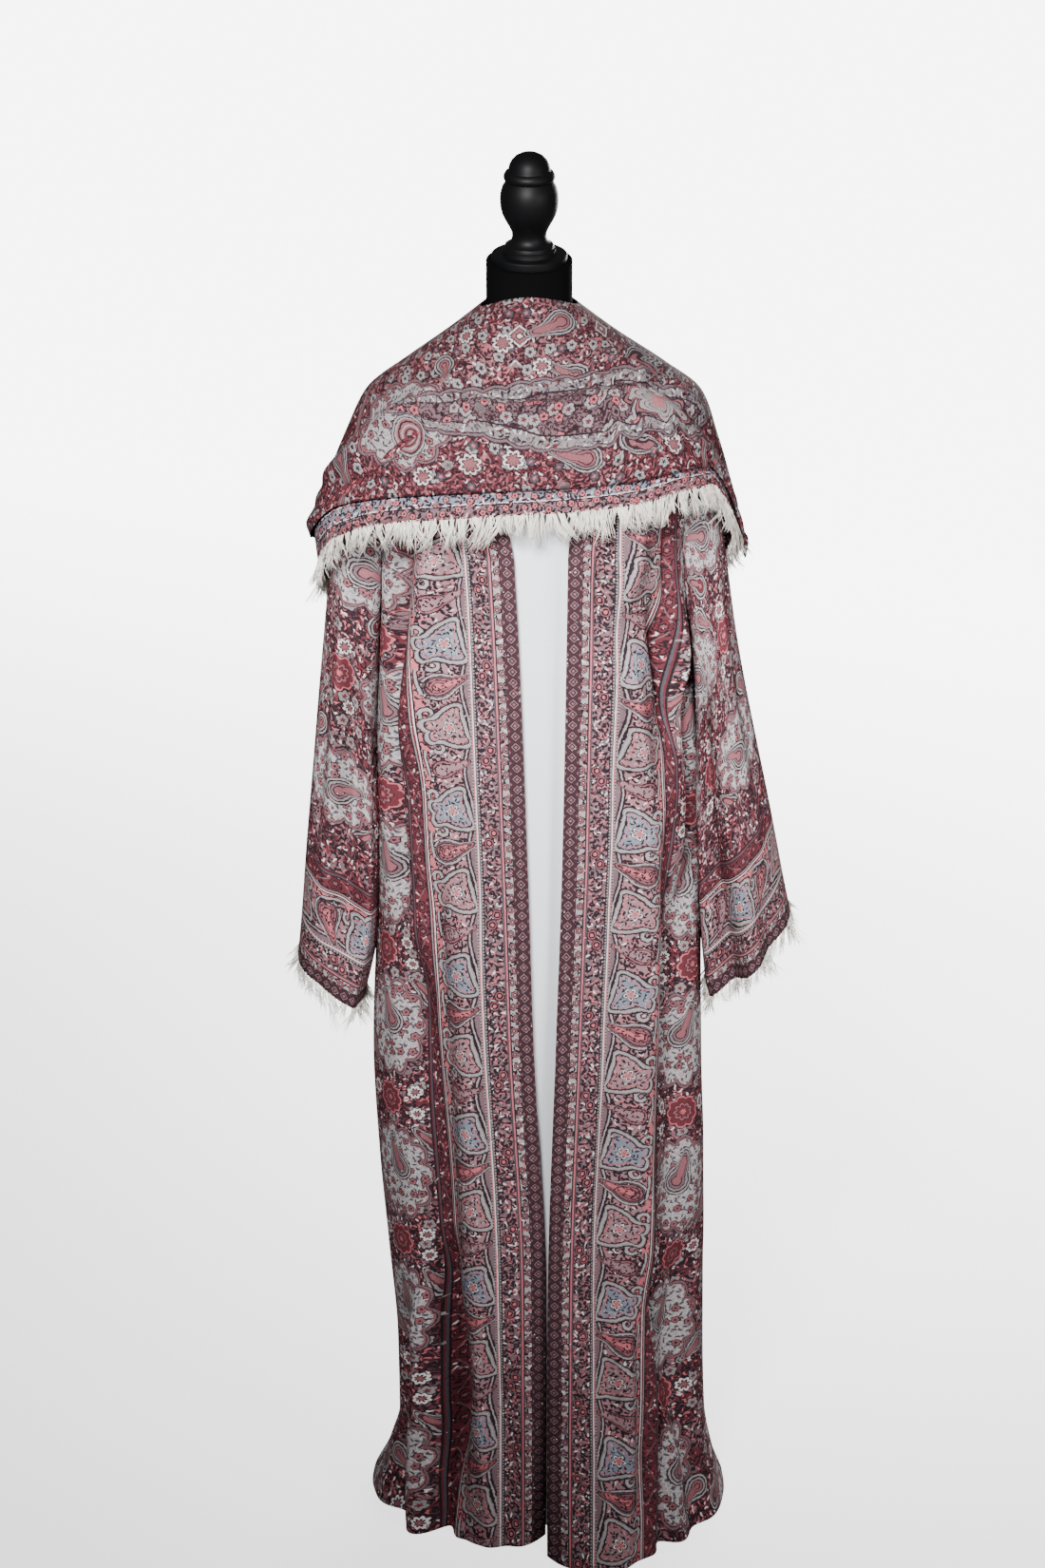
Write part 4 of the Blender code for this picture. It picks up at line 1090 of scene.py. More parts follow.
    def contours(self, value, pitch):
        """Distance to the nearest of a value's level lines, 0 to 0.5."""
        return self.math("PINGPONG", self.times(value, pitch), 0.5)

    def outline(self, x, y, rows, across, high, mirrored=True):
        """Distance outside a motif's outline, from a table of its reach at each angle from its tip."""
        xs = self.over(x, across)
        ys = self.over(self.absolute(y) if mirrored else y, high)
        far = self.far(xs, ys)
        turn = self.math("ARCTAN2", ys, xs)
        low = 0.0 if mirrored else -math.pi
        share = self.over(self.less(turn, low), math.pi - low)
        curve = self.node("ShaderNodeFloatCurve")
        points = curve.mapping.curves[0].points
        span = rows[-1].angle - rows[0].angle
        for angle, reach in rows[1:-1]:
            points.new((angle - rows[0].angle) / span, reach)
        points[0].location = (0.0, rows[0].reach)
        points[-1].location = (1.0, rows[-1].reach)
        curve.mapping.update()
        self.plug(share, curve.inputs["Value"])
        beyond = self.less(far, curve.outputs[0])
        slope = self.far(self.over(xs, across), self.over(ys, high))
        slope = self.over(slope, self.math("MAXIMUM", far, 0.05))
        return self.over(beyond, self.math("MAXIMUM", slope, 1.0))

    def petals(self, x, y, count, radius, depth=0.16):
        """Distance outside a flower's outline."""
        far = self.far(x, y)
        wave = self.absolute(self.math("SINE", self.times(self.math("ARCTAN2", y, x), count / 2.0)))
        return self.less(far, self.times(self.total(self.times(wave, depth), 1.0 - depth), radius))

    def far(self, x, y):
        return self.math("SQRT", self.total(self.times(x, x), self.times(y, y)))

    def spun(self, x, y, c, s):
        """Coordinates turned by the angle whose cosine and sine are given."""
        return self.total(self.times(x, c), self.times(y, s)), self.less(self.times(y, c), self.times(x, s))

    def turned(self, x, y, degrees):
        """Coordinates turned by an angle, given in degrees or as a socket in radians."""
        if isinstance(degrees, (int, float)):
            c, s = math.cos(math.radians(degrees)), math.sin(math.radians(degrees))
        else:
            c, s = self.math("COSINE", degrees), self.math("SINE", degrees)
        return self.spun(x, y, c, s)

    def scatter(self, place, cell, seed, randomness=1.0, turn=True):
        """Local coordinates in metres about the nearest of many thrown points, with two chances."""
        scaled = self.node("ShaderNodeVectorMath", operation="SCALE")
        self.plug(place, scaled.inputs[0])
        self.plug(self.over(1.0, cell), scaled.inputs["Scale"])
        shift = self.pair(self.times(3.7, seed), self.times(5.1, seed))
        moved = self.vector("ADD", scaled.outputs[0], shift)
        cells = self.node("ShaderNodeTexVoronoi", voronoi_dimensions="2D", feature="F1")
        self.plug(moved, cells.inputs["Vector"])
        cells.inputs["Scale"].default_value = 1.0
        cells.inputs["Randomness"].default_value = randomness
        offset = self.vector("SUBTRACT", moved, cells.outputs["Position"])
        split = self.node("ShaderNodeSeparateColor")
        self.plug(cells.outputs["Color"], split.inputs[0])
        x, y = (self.times(part, cell) for part in self.parts(offset)[:2])
        if turn:
            x, y = self.turned(x, y, self.times(split.outputs[1], 2.0 * math.pi))
        return x, y, split.outputs[0], split.outputs[2]

    def parts(self, vector):
        made = self.node("ShaderNodeSeparateXYZ")
        self.plug(vector, made.inputs[0])
        return made.outputs

    def cells_along(self, value, pitch, shift=0.0):
        """Where a value lies about the middle of its repeat, and the repeat's number."""
        step = self.total(self.over(value, pitch), shift)
        count = self.math("FLOOR", step)
        return self.times(self.less(self.less(step, count), 0.5), pitch), count

    def between(self, value, pitch):
        """Where a value about the middle of its repeat lies about the middle between two repeats."""
        return self.times(self.less(self.absolute(value), pitch / 2.0), self.math("SIGN", value))

    def relief(self, height, strength, distance):
        bump = self.node("ShaderNodeBump")
        bump.inputs["Strength"].default_value = strength
        bump.inputs["Distance"].default_value = distance
        self.plug(height, bump.inputs["Height"])
        self.plug(bump.outputs[0], self.shader.inputs["Normal"])

    def gloss(self, roughness, specular, metallic=0.0, sheen=0.0):
        """Constant values on the shader's own sockets."""
        self.shader.inputs["Roughness"].default_value = roughness
        self.shader.inputs["Specular IOR Level"].default_value = specular
        self.shader.inputs["Metallic"].default_value = metallic
        self.shader.inputs["Sheen Weight"].default_value = sheen

    def weave(self, place, lift=0.46):
        """Thread grain over the colour, with a little relief. lift is the share kept where it is darkest."""
        threads = self.noise(self.vector("MULTIPLY", place, THREADS), 1.0, 2.0)
        shade = self.total(threads, lift)
        grey = self.fed(self.node("ShaderNodeCombineColor"), shade, shade, shade)
        self.colour = self.blend(1.0, self.colour, grey, "MULTIPLY")
        self.plug(self.colour, self.shader.inputs["Base Color"])
        self.relief(threads, 0.35, 0.0005)
        self.gloss(WEAVE_ROUGHNESS, WEAVE_SPECULAR)

    def nearest(self, x, y, rows):
        """Local coordinates and size of the nearest motif of a table, and its dye."""
        best = spot = look = dye = None
        for at_x, at_y, size, slant, name in rows:
            far = self.over(self.far(self.less(x, at_x), self.less(y, at_y)), size)
            turn = math.radians(slant)
            here = ((at_x, at_y, size), (math.cos(turn), math.sin(turn), 0.0), DYE[name])
            if best is None:
                best, (spot, look, dye) = far, (self.choose(0.0, part, part) for part in here)
            else:
                closer = self.math("LESS_THAN", far, best)
                best = self.math("MINIMUM", far, best)
                pairs = zip((spot, look, dye), here)
                spot, look, dye = (self.choose(closer, old, new) for old, new in pairs)
        at_x, at_y, size = self.parts(spot)
        c, s, _ = self.parts(look)
        return (*self.spun(self.less(x, at_x), self.less(y, at_y), c, s), size), dye

    def ring(self, mask, far, *layers):
        """Paint nested layers, each the part nearer than its edge, in its dye."""
        for edge, dye in layers:
            self.paint(dye, mask, self.below(far, edge))


def paint_leaves(graph, place, mask, cell, length, width, seed, dye):
    """Small bent leaves thrown over the cloth where chance is under the mask."""
    x, y, chance, _ = graph.scatter(place, cell, seed)
    bent = graph.less(y, graph.times(x, x, 120.0))
    one, two = graph.over(x, length), graph.over(bent, width)
    size = graph.total(graph.times(one, one), graph.times(two, two))
    shown = graph.above(graph.less(mask, chance), 0.0, 0.02)
    graph.paint(dye, graph.below(size, 1.0, 0.25), shown)


def paint_flower(graph, place, mask, cell, radius, seed, petal, heart):
    """Small flowers with a dark rim and a heart."""
    x, y, chance, _ = graph.scatter(place, cell, seed, 0.8)
    far = graph.petals(x, y, 5.0, radius, 0.3)
    on = graph.times(mask, graph.above(chance, 0.25, 0.01))
    graph.paint("night", on, graph.below(far, 0.0011))
    graph.paint(petal, on, graph.below(far, 0.0))
    graph.paint(heart, on, graph.below(graph.total(far, graph.times(radius, 0.55)), 0.0))


def leaves(graph, place, mask, cell, length, width, seed, dye):
    wires = {"cell": cell, "length": length, "width": width, "seed": seed, "dye": dye}
    graph.region("leaves", paint_leaves, place=place, mask=mask, **wires)


def strewn_leaves(graph, place, mask, rows):
    """Layers of leaves from a table, as densely as the mask says."""
    for row in rows:
        leaves(graph, place, graph.times(mask, row.share), *row[:-1])


def flowers(graph, place, mask, cell, radius, seed, petal, heart):
    wires = {"cell": cell, "radius": radius, "seed": seed, "petal": petal, "heart": heart}
    graph.region("flowers", paint_flower, place=place, mask=mask, **wires)


def paint_veins(graph, place, mask, scale, pitch, width, dye):
    """Thin winding lines."""
    winding = graph.contours(graph.noise(place, scale, 1.5), pitch)
    graph.paint(dye, mask, graph.below(graph.less(winding, width), 0.0, 0.03))


def veins(graph, place, mask, scale, pitch, width, dye):
    wires = {"scale": scale, "pitch": pitch, "width": width, "dye": dye}
    graph.region("veins", paint_veins, place=place, mask=mask, **wires)


def medallion(graph, x, y, mask, across, high, place):
    """A grey scalloped medallion with a lace of pale threads in it."""
    lobes = graph.petals(graph.times(x, graph.over(high, across)), y, 11.0, high, 0.17)
    body = graph.times(mask, graph.below(lobes, 0.0))
    graph.ring(mask, lobes, (0.0066, "night"), (0.0056, "mauve"), (0.0028, "night"), (0.0018, "rose"))
    graph.ring(mask, lobes, (0.0, "ash"))
    cells = graph.node("ShaderNodeTexVoronoi", voronoi_dimensions="2D", feature="DISTANCE_TO_EDGE")
    graph.plug(place, cells.inputs["Vector"])
    cells.inputs["Scale"].default_value = 175.0
    graph.paint("pale", body, graph.below(cells.outputs["Distance"], 0.035, 0.035))
    leaves(graph, place, graph.times(body, 0.95), 0.0064, 0.0030, 0.0013, 6.0, "slate")
    flowers(graph, place, body, 0.0150, 0.0042, 37.0, "rose", "night")


def scroll(graph, x, y, mask, size, fill):
    """A boteh drawn as dark and pale lines inside one another."""
    far = graph.outline(x, y, BOTEH, size, size, mirrored=False)
    graph.ring(
        mask, far, (0.0044, "night"), (0.0030, "ash"), (0.0010, "night"), (-0.0008, "grey"),
        (-0.0032, "night"), (-0.0044, fill), (-0.0070, "night"), (-0.0084, "rose"),
    )


def rosette(graph, x, y, mask, radius):
    """A crimson flower of scalloped rings."""
    far = graph.petals(x, y, 9.0, radius, 0.16)
    graph.ring(mask, far, (0.0022, "night"), (0.0010, "salmon"), (-0.0012, "crimson"))
    inner = graph.total(far, graph.times(radius, 0.42))
    graph.ring(mask, inner, (0.0010, "night"), (0.0, "rose"), (-0.0028, "night"), (-0.0038, "crimson"))
    graph.paint("salmon", mask, graph.below(graph.total(far, graph.times(radius, 0.80)), 0.0))


def star(graph, x, y, mask, radius):
    """A pale many-petalled flower with a dark and pink heart."""
    far = graph.petals(x, y, 8.0, radius, 0.30)
    graph.ring(mask, far, (0.0012, "night"), (0.0, "pale"), (-0.0030, "maroon"), (-0.0050, "rose"))


def paint_chain(graph, zone, along, place, mask):
    """The chain of cartouches, botehs and vines between the border's stripes."""
    y, count = graph.cells_along(along, CHAIN_PITCH)
    odd = graph.above(graph.math("PINGPONG", count, 1.0), 0.5, 0.01)
    x = graph.less(CHAIN_LINE, zone)
    near = graph.times(mask, graph.below(graph.absolute(x), 0.0290))
    # Waving lines at both sides of the chain
    wave = graph.sine(along, CHAIN_PITCH, 0.0042, math.pi / 2.0)
    vine = graph.less(graph.total(x, wave), 0.0215)
    graph.paint("mauve", near, graph.above(vine, 0.0))
    graph.paint("ash", near, graph.line(vine, 0.0019, 0.0010))
    graph.paint("night", near, graph.line(vine, 0.0, 0.0011))
    graph.paint("night", near, graph.line(vine, 0.0042, 0.0010))
    # A boteh between two cartouches, dark edged and haloed in turn
    gap = graph.between(y, CHAIN_PITCH)
    bx, by = graph.turned(graph.total(x, 0.004), gap, 14.0)
    even = graph.absolute(graph.less(odd, graph.above(y, 0.0, 0.0001)))
    far = graph.outline(bx, by, BOTEH, 0.033, 0.030, mirrored=False)
    haloed = graph.times(near, even)
    graph.ring(haloed, far, (0.0066, "night"), (0.0054, "ash"), (0.0032, "night"), (0.0022, "mauve"))
    graph.ring(near, far, (0.0014, "night"), (-0.0002, "rose"), (-0.0024, "night"), (-0.0034, "blush"))
    graph.ring(haloed, far, (-0.0034, "rose"), (-0.0058, "night"), (-0.0070, "salmon"))
    body = graph.times(near, graph.below(far, -0.001), 0.8)
    leaves(graph, place, body, 0.0044, 0.0022, 0.0009, 8.0, "night")
    # A salmon edge with short pale leaves on the outer side
    graph.paint("salmon", near, graph.below(graph.total(x, wave), -0.0205))
    outer = graph.times(near, graph.below(x, -0.0150), 0.8)
    leaves(graph, place, outer, 0.0064, 0.0034, 0.0011, 33.0, "night")
    arc = graph.total(graph.total(x, 0.0246), graph.sine(along, CHAIN_PITCH / 2.0, 0.0016))
    broken = graph.above(graph.sine(along, CHAIN_PITCH / 2.0, 1.0, 0.8), -0.35, 0.12)
    graph.paint("night", near, broken, graph.line(arc, 0.0, 0.0027))
    graph.paint("ash", near, broken, graph.line(arc, 0.0, 0.0013))
    # The cartouches and the curls at their waist
    cx, cy = graph.turned(x, y, 14.0)
    side = graph.math("SIGN", cy)
    hx, hy = graph.total(cx, 0.0165), graph.less(cy, graph.times(side, 0.0215))
    curl = graph.far(hx, hy)
    open_side = graph.above(graph.total(hx, graph.times(hy, side)), -0.0046, 0.001)
    graph.paint("night", near, open_side, graph.line(curl, 0.0056, 0.0034))
    graph.paint("ash", near, open_side, graph.line(curl, 0.0056, 0.0018))
    far = graph.outline(cx, cy, CARTOUCHE, 0.0345, 0.0345)
    fill = graph.blend(odd, DYE["blush"], DYE["bluegrey"])
    graph.ring(
        near, far, (0.0022, "night"), (0.0002, "grey"), (-0.0014, "ash"), (-0.0034, "grey"),
        (-0.0044, "night"), (-0.0062, fill),
    )
    inside = graph.times(near, graph.below(far, -0.0062))
    strewn_leaves(graph, place, inside, CARTOUCHE_LEAVES)
    graph.paint("salmon", inside, graph.line(far, -0.0088, 0.0007))
    heart = graph.petals(graph.less(cx, 0.003), cy, 5.0, 0.0078, 0.6)
    graph.ring(inside, heart, (0.0010, "night"), (0.0, "pale"), (-0.0016, "night"), (-0.0030, "salmon"))


def paint_field_ground(graph, place, mask):
    """Patches of mauve and maroon over the crimson, edged with sprays."""
    patches = graph.noise(place, 34.0)
    graph.paint("mauve", mask, graph.below(patches, 0.45, 0.02))
    graph.paint("maroon", mask, graph.above(patches, 0.54, 0.02))
    sprays = graph.contours(patches, 9.0)
    graph.paint("night", mask, graph.below(sprays, 0.08, 0.02))
    graph.paint("rose", mask, graph.line(sprays, 0.16, 0.035, 0.02))


def paint_field(graph, inward, along, place, mask):
    """Columns of grey medallions with crimson rosettes between them."""
    x, number = graph.cells_along(inward, FIELD_WIDTH, 0.14)
    odd = graph.math("PINGPONG", number, 1.0)
    y, _ = graph.cells_along(graph.total(along, graph.times(odd, FIELD_PITCH / 2.0)), FIELD_PITCH)
    flowers(graph, place, mask, 0.028, 0.0070, 11.0, "grey", "crimson")
    gap = graph.between(y, FIELD_PITCH)
    graph.region("rosette", rosette, x=graph.less(x, 0.004), y=gap, mask=mask, radius=0.0200)
    (star_x, star_y, star_size), _ = graph.nearest(x, gap, FIELD_STARS)
    graph.region("star", star, x=star_x, y=star_y, mask=mask, radius=star_size)
    (bx, by, size), dye = graph.nearest(x, y, FIELD_BOTEHS)
    graph.region("scroll", scroll, x=bx, y=by, mask=mask, size=size, fill=dye)
    graph.region("medallion", medallion, x=x, y=y, mask=mask, across=0.044, high=0.060, place=place)
    bx, by = graph.turned(graph.total(x, 0.004), graph.less(y, 0.010), 64.0)
    graph.region("scroll", scroll, x=bx, y=by, mask=mask, size=0.037, fill="mauve")


def paint_bands(graph, zone, along, flowery):
    """The border's diamonds, dots and florets."""
    edge = graph.below(zone, 0.0164)
    one = graph.absolute(graph.less(zone, 0.0084))
    two = graph.absolute(graph.cells_along(along, 0.0128)[0])
    size = graph.total(one, two)
    graph.ring(edge, size, (0.0070, "night"), (0.0056, "mauve"), (0.0038, "night"), (0.0020, "rose"))
    outer = graph.absolute(graph.cells_along(along, 0.0128, 0.5)[0])
    corner = graph.absolute(graph.less(graph.total(graph.less(0.0084, one), outer), 0.0018))
    graph.paint("mauve", edge, graph.below(corner, 0.0010))
    dots = graph.above(graph.sine(along, 0.0038, 1.0), 0.1, 0.2)
    graph.paint("night", graph.line(zone, 0.0538, 0.0008), dots)
    graph.paint("night", graph.line(zone, 0.0596, 0.0007), dots)
    band = graph.above(flowery, 0.5, 0.01)
    y, number = graph.cells_along(along, 0.0150)
    odd = graph.math("PINGPONG", number, 1.0)
    far = graph.petals(graph.less(zone, graph.total(0.0200, graph.times(odd, 0.0026))), y, 6.0, 0.0040, 0.2)
    graph.ring(band, far, (0.0010, "night"), (0.0, "rose"), (-0.0014, "night"), (-0.0026, "ash"))


def paint_small_motifs(graph, zone, along, leaf_band, red_band):
    """Pairs of round botehs in the leaf band and flowers in the crimson band."""
    y, _ = graph.cells_along(along, CHAIN_PITCH, 0.3)
    side = graph.math("SIGN", y)
    x = graph.total(zone, -0.0414, graph.times(side, 0.0030))
    far = graph.petals(x, graph.less(y, graph.times(side, 0.0062)), 1.0, 0.0060, 0.25)
    graph.ring(leaf_band, far, (0.0010, "night"), (-0.0002, "rose"), (-0.0014, "night"), (-0.0034, "salmon"))
    y, _ = graph.cells_along(along, 0.030)
    far = graph.petals(graph.less(zone, 0.1333), y, 6.0, 0.0064, 0.30)
    graph.ring(red_band, far, (0.0016, "night"), (0.0004, "crimson"), (-0.0016, "night"), (-0.0036, "rose"))
    vine = graph.less(graph.total(zone, graph.sine(along, 0.060, 0.0058)), 0.1333)
    graph.paint("mauve", red_band, graph.line(vine, 0.0, 0.0006), graph.above(far, 0.0016))


def cloth_graph(name):
    """A material's graph with the cloth's exact coordinates and slightly wandering ones."""
    graph = Graph(name)
    raw = graph.node("ShaderNodeAttribute", attribute_name="cloth").outputs["Vector"]
    wander = graph.noise_node(raw, WANDER_SCALE, 1.0)
    shift = graph.vector("SUBTRACT", wander.outputs["Color"], (0.5, 0.5, 0.5))
    place = graph.vector("ADD", raw, graph.vector("MULTIPLY", shift, WANDER))
    return graph, raw, place


def panel_material():
    """The woven cloth of the fronts, the back and the sleeves."""
    graph, raw, place = cloth_graph("paisley_weave")
    zone, along, start = graph.parts(place)
    steady = graph.total(graph.times(graph.parts(raw)[0], 0.7), graph.times(zone, 0.3))
    held = graph.math("MINIMUM", graph.math("MAXIMUM", steady, 0.00005), RAMP_SPAN * 0.9999)
    share = graph.over(held, RAMP_SPAN)
    graph.colour = graph.ramp(share, [(row.start / RAMP_SPAN, DYE[row.ground]) for row in BANDS])
    leafy = graph.ramp(share, [(row.start / RAMP_SPAN, (row.leaves,) * 3) for row in BANDS])
    flowery = graph.ramp(share, [(row.start / RAMP_SPAN, (row.florets,) * 3) for row in BANDS])
    field = graph.times(graph.above(graph.less(steady, start), 0.0), graph.above(steady, BORDER_WIDTH))
    graph.region("field_ground", paint_field_ground, place=place, mask=graph.above(steady, BORDER_WIDTH))
    strewn_leaves(graph, place, leafy, GROUND_LEAVES)
    graph.region("bands", paint_bands, zone=steady, along=along, flowery=flowery)
    bands = {"leaf_band": graph.line(steady, *LEAF_BAND), "red_band": graph.line(steady, *RED_BAND)}
    graph.region("small_motifs", paint_small_motifs, zone=zone, along=along, **bands)
    chain = graph.line(steady, *CHAIN_BAND)
    graph.region("chain", paint_chain, zone=zone, along=along, place=place, mask=chain)
    graph.region("field", paint_field, inward=graph.less(zone, start), along=along, place=place, mask=field)
    graph.weave(raw)
    return graph.material


def paint_shawl_ground(graph, x, down, level, place):
    """Pink above and crimson below, and the bodies of the long boteh and its curled end."""
    patches = graph.noise(place, 30.0)
    graph.paint("rose", graph.below(patches, 0.50, 0.02))
    graph.paint("crimson", graph.above(patches, 0.57, 0.02))
    sprays = graph.contours(patches, 9.0)
    graph.paint("night", graph.below(sprays, 0.09, 0.02))
    graph.paint("grey", graph.line(sprays, 0.17, 0.03, 0.02))
    outer = graph.above(graph.absolute(graph.total(x, 0.006)), 0.2200)
    low = graph.total(level, graph.sine(x, 0.110, 0.006))
    graph.paint("pale", graph.line(low, 0.186, 0.0020))
    graph.paint("crimson", graph.math("MAXIMUM", graph.above(low, 0.186), outer))
    graph.paint("rose", graph.above(low, 0.186), graph.above(sprays, 0.34, 0.02))
    for row in SHAWL_LEAVES:
        leaves(graph, place, row.share, *row[:-1])
    flowers(graph, place, 1.0, 0.026, 0.0068, 31.0, "ash", "night")
    moved = graph.vector("ADD", place, (0.17, 0.11, 0.0))
    flowers(graph, moved, 1.0, 0.034, 0.0054, 32.0, "slate", "salmon")
    stripe = graph.less(graph.absolute(graph.total(x, 0.006)), 0.2230)
    graph.paint("night", graph.line(stripe, 0.0, 0.0062))
    for middle, half, dye in ((-0.0034, 0.0014, "rose"), (0.0, 0.0010, "grey"), (0.0034, 0.0014, "rose")):
        graph.paint(dye, graph.line(stripe, middle, half))


def paint_diamonds(graph, down, place):
    """Squares set on their corners, strewn near the neck."""
    dx, dy, chance, _ = graph.scatter(place, 0.058, 15.0, 0.6, turn=False)
    size = graph.total(graph.absolute(dx), graph.absolute(dy))
    near_neck = graph.times(graph.below(down, 0.085, 0.004), graph.above(chance, 0.3, 0.01))
    graph.ring(
        near_neck, size, (0.0162, "night"), (0.0148, "pale"), (0.0120, "night"), (0.0106, "rose"),
        (0.0058, "night"), (0.0036, "pale"),
    )


def paint_long_boteh(graph, x, level, place):
    """A boteh lying across the front, with a grey scalloped edge and a flowery body."""
    bx, by = graph.less(x, 0.024), graph.less(level, 0.1480)
    far = graph.outline(bx, by, LONG_BOTEH, 0.212, 0.044)
    outer = graph.less(far, graph.absolute(graph.sine(x, 0.052, 0.0030)))
    graph.ring(1.0, outer, (0.0052, "night"), (0.0040, "mauve"), (0.0014, "night"), (0.0002, "grey"))
    band = graph.below(outer, 0.0)
    veins(graph, place, band, 90.0, 5.0, 0.10, "slate")
    strewn_leaves(graph, place, band, BAND_LEAVES)
    graph.ring(1.0, far, (-0.0102, "night"), (-0.0122, "mauve"))
    body = graph.below(far, -0.0122)
    veins(graph, place, body, 60.0, 6.0, 0.13, "night")
    leaves(graph, place, graph.times(body, 0.9), 0.0048, 0.0026, 0.0011, 25.0, "maroon")
    flowers(graph, place, body, 0.019, 0.0074, 23.0, "ash", "crimson")
    moved = graph.vector("ADD", place, (0.21, 0.13, 0.0))
    flowers(graph, moved, body, 0.021, 0.0052, 24.0, "salmon", "night")
    palm = graph.petals(graph.times(graph.less(x, 0.158), 0.55), by, 7.0, 0.0250, 0.35)
    graph.ring(
        body, palm, (0.0030, "night"), (0.0016, "rose"), (-0.0006, "night"), (-0.0018, "ash"),
        (-0.0060, "crimson"), (-0.0072, "ash"), (-0.0110, "night"), (-0.0120, "grey"), (-0.0160, "salmon"),
    )


def paint_coil(graph, x, level):
    """The curled end of the long boteh, in its grey lobe."""
    cx, cy = graph.total(x, 0.140), graph.less(level, 0.178)
    far = graph.far(cx, cy)
    turn = graph.over(graph.math("ARCTAN2", cy, cx), 2.0 * math.pi)
    coil = graph.math("FRACT", graph.less(graph.over(far, 0.0076), turn))
    graph.ring(1.0, far, (0.0228, "night"), (0.0218, "ash"), (0.0198, "night"), (0.0188, "rose"))
    inside = graph.below(far, 0.0188)
    graph.paint("night", inside, graph.line(coil, 0.25, 0.10, 0.04))
    graph.paint("ash", inside, graph.line(coil, 0.75, 0.14, 0.04))


def paint_shawl_motifs(graph, x, level, place):
    """Grey medallions, curled botehs and pale sunflowers of the shawl."""
    (mx, my, high), _ = graph.nearest(x, level, SHAWL_MEDALLIONS)
    across = graph.times(high, 1.2)
    graph.region("medallion", medallion, x=mx, y=my, mask=1.0, across=across, high=high, place=place)
    (bx, by, size), dye = graph.nearest(x, level, SHAWL_BOTEHS)
    graph.region("scroll", scroll, x=bx, y=by, mask=1.0, size=size, fill=dye)
    (sx, sy, radius), _ = graph.nearest(x, level, SHAWL_STARS)
    graph.region("star", star, x=sx, y=sy, mask=1.0, radius=radius)


def shawl_material():
    """The shawl's cloth: a pink ground with a long boteh across it and a crimson band below."""
    graph, raw, place = cloth_graph("shawl_weave")
    x, down, _ = graph.parts(place)
    level = graph.less(down, graph.times(graph.math("MINIMUM", graph.times(x, x), 0.065), SHAWL_SWAG))
    graph.colour = graph.ramp(down, [(0.0, DYE["salmon"])])
    graph.region("shawl_ground", paint_shawl_ground, x=x, down=down, level=level, place=place)
    graph.region("diamonds", paint_diamonds, down=down, place=place)
    graph.region("shawl_motifs", paint_shawl_motifs, x=x, level=level, place=place)
    graph.region("long_boteh", paint_long_boteh, x=x, level=level, place=place)
    graph.region("coil", paint_coil, x=x, level=level)
    # The shawl's lower lift is painted shade that offsets the stronger light on it
    graph.weave(raw, SHAWL_PAINTED_SHADE_LIFT)
    return graph.material


def paint_narrow_border(graph, zone, place):
    share = graph.over(graph.math("MINIMUM", zone, 0.0999), 0.1)
    graph.colour = graph.ramp(share, [(row.start / 0.1, DYE[row.ground]) for row in SHAWL_EDGE])
    strewn_leaves(graph, place, graph.times(0.62, graph.above(zone, -1.0)), GROUND_LEAVES)
    flowers(graph, place, 1.0, 0.0130, 0.0034, 17.0, "salmon", "night")


def border_material():
    """The under layer's edge: a blue-grey stripe over a narrow pink one."""
    graph, raw, place = cloth_graph("border_weave")
    zone = graph.parts(place)[0]
    graph.colour = graph.ramp(zone, [(0.0, DYE["crimson"])])
    graph.region("narrow_border", paint_narrow_border, zone=zone, place=place)
    graph.weave(raw, 0.30)
    return graph.material


def plain_material(name, colour, roughness, scale, relief, mottling=0.12, shine=0.5, **more):
    """A single-coloured finish with a fine grain."""
    graph = Graph(name)
    where = graph.node("ShaderNodeTexCoord").outputs["Object"]
    grain = graph.noise_node(where, scale, 3.0, "3D").outputs["Fac"]
    darker = tuple(c * (1.0 - mottling) for c in colour)
    lighter = tuple(min(1.0, c * (1.0 + mottling)) for c in colour)
    tint = graph.ramp(grain, [(0.3, darker), (0.7, lighter)], step=False)
    graph.plug(tint, graph.shader.inputs["Base Color"])
    graph.relief(grain, 0.3, relief)
    graph.gloss(roughness, shine, **more)
    return graph.material


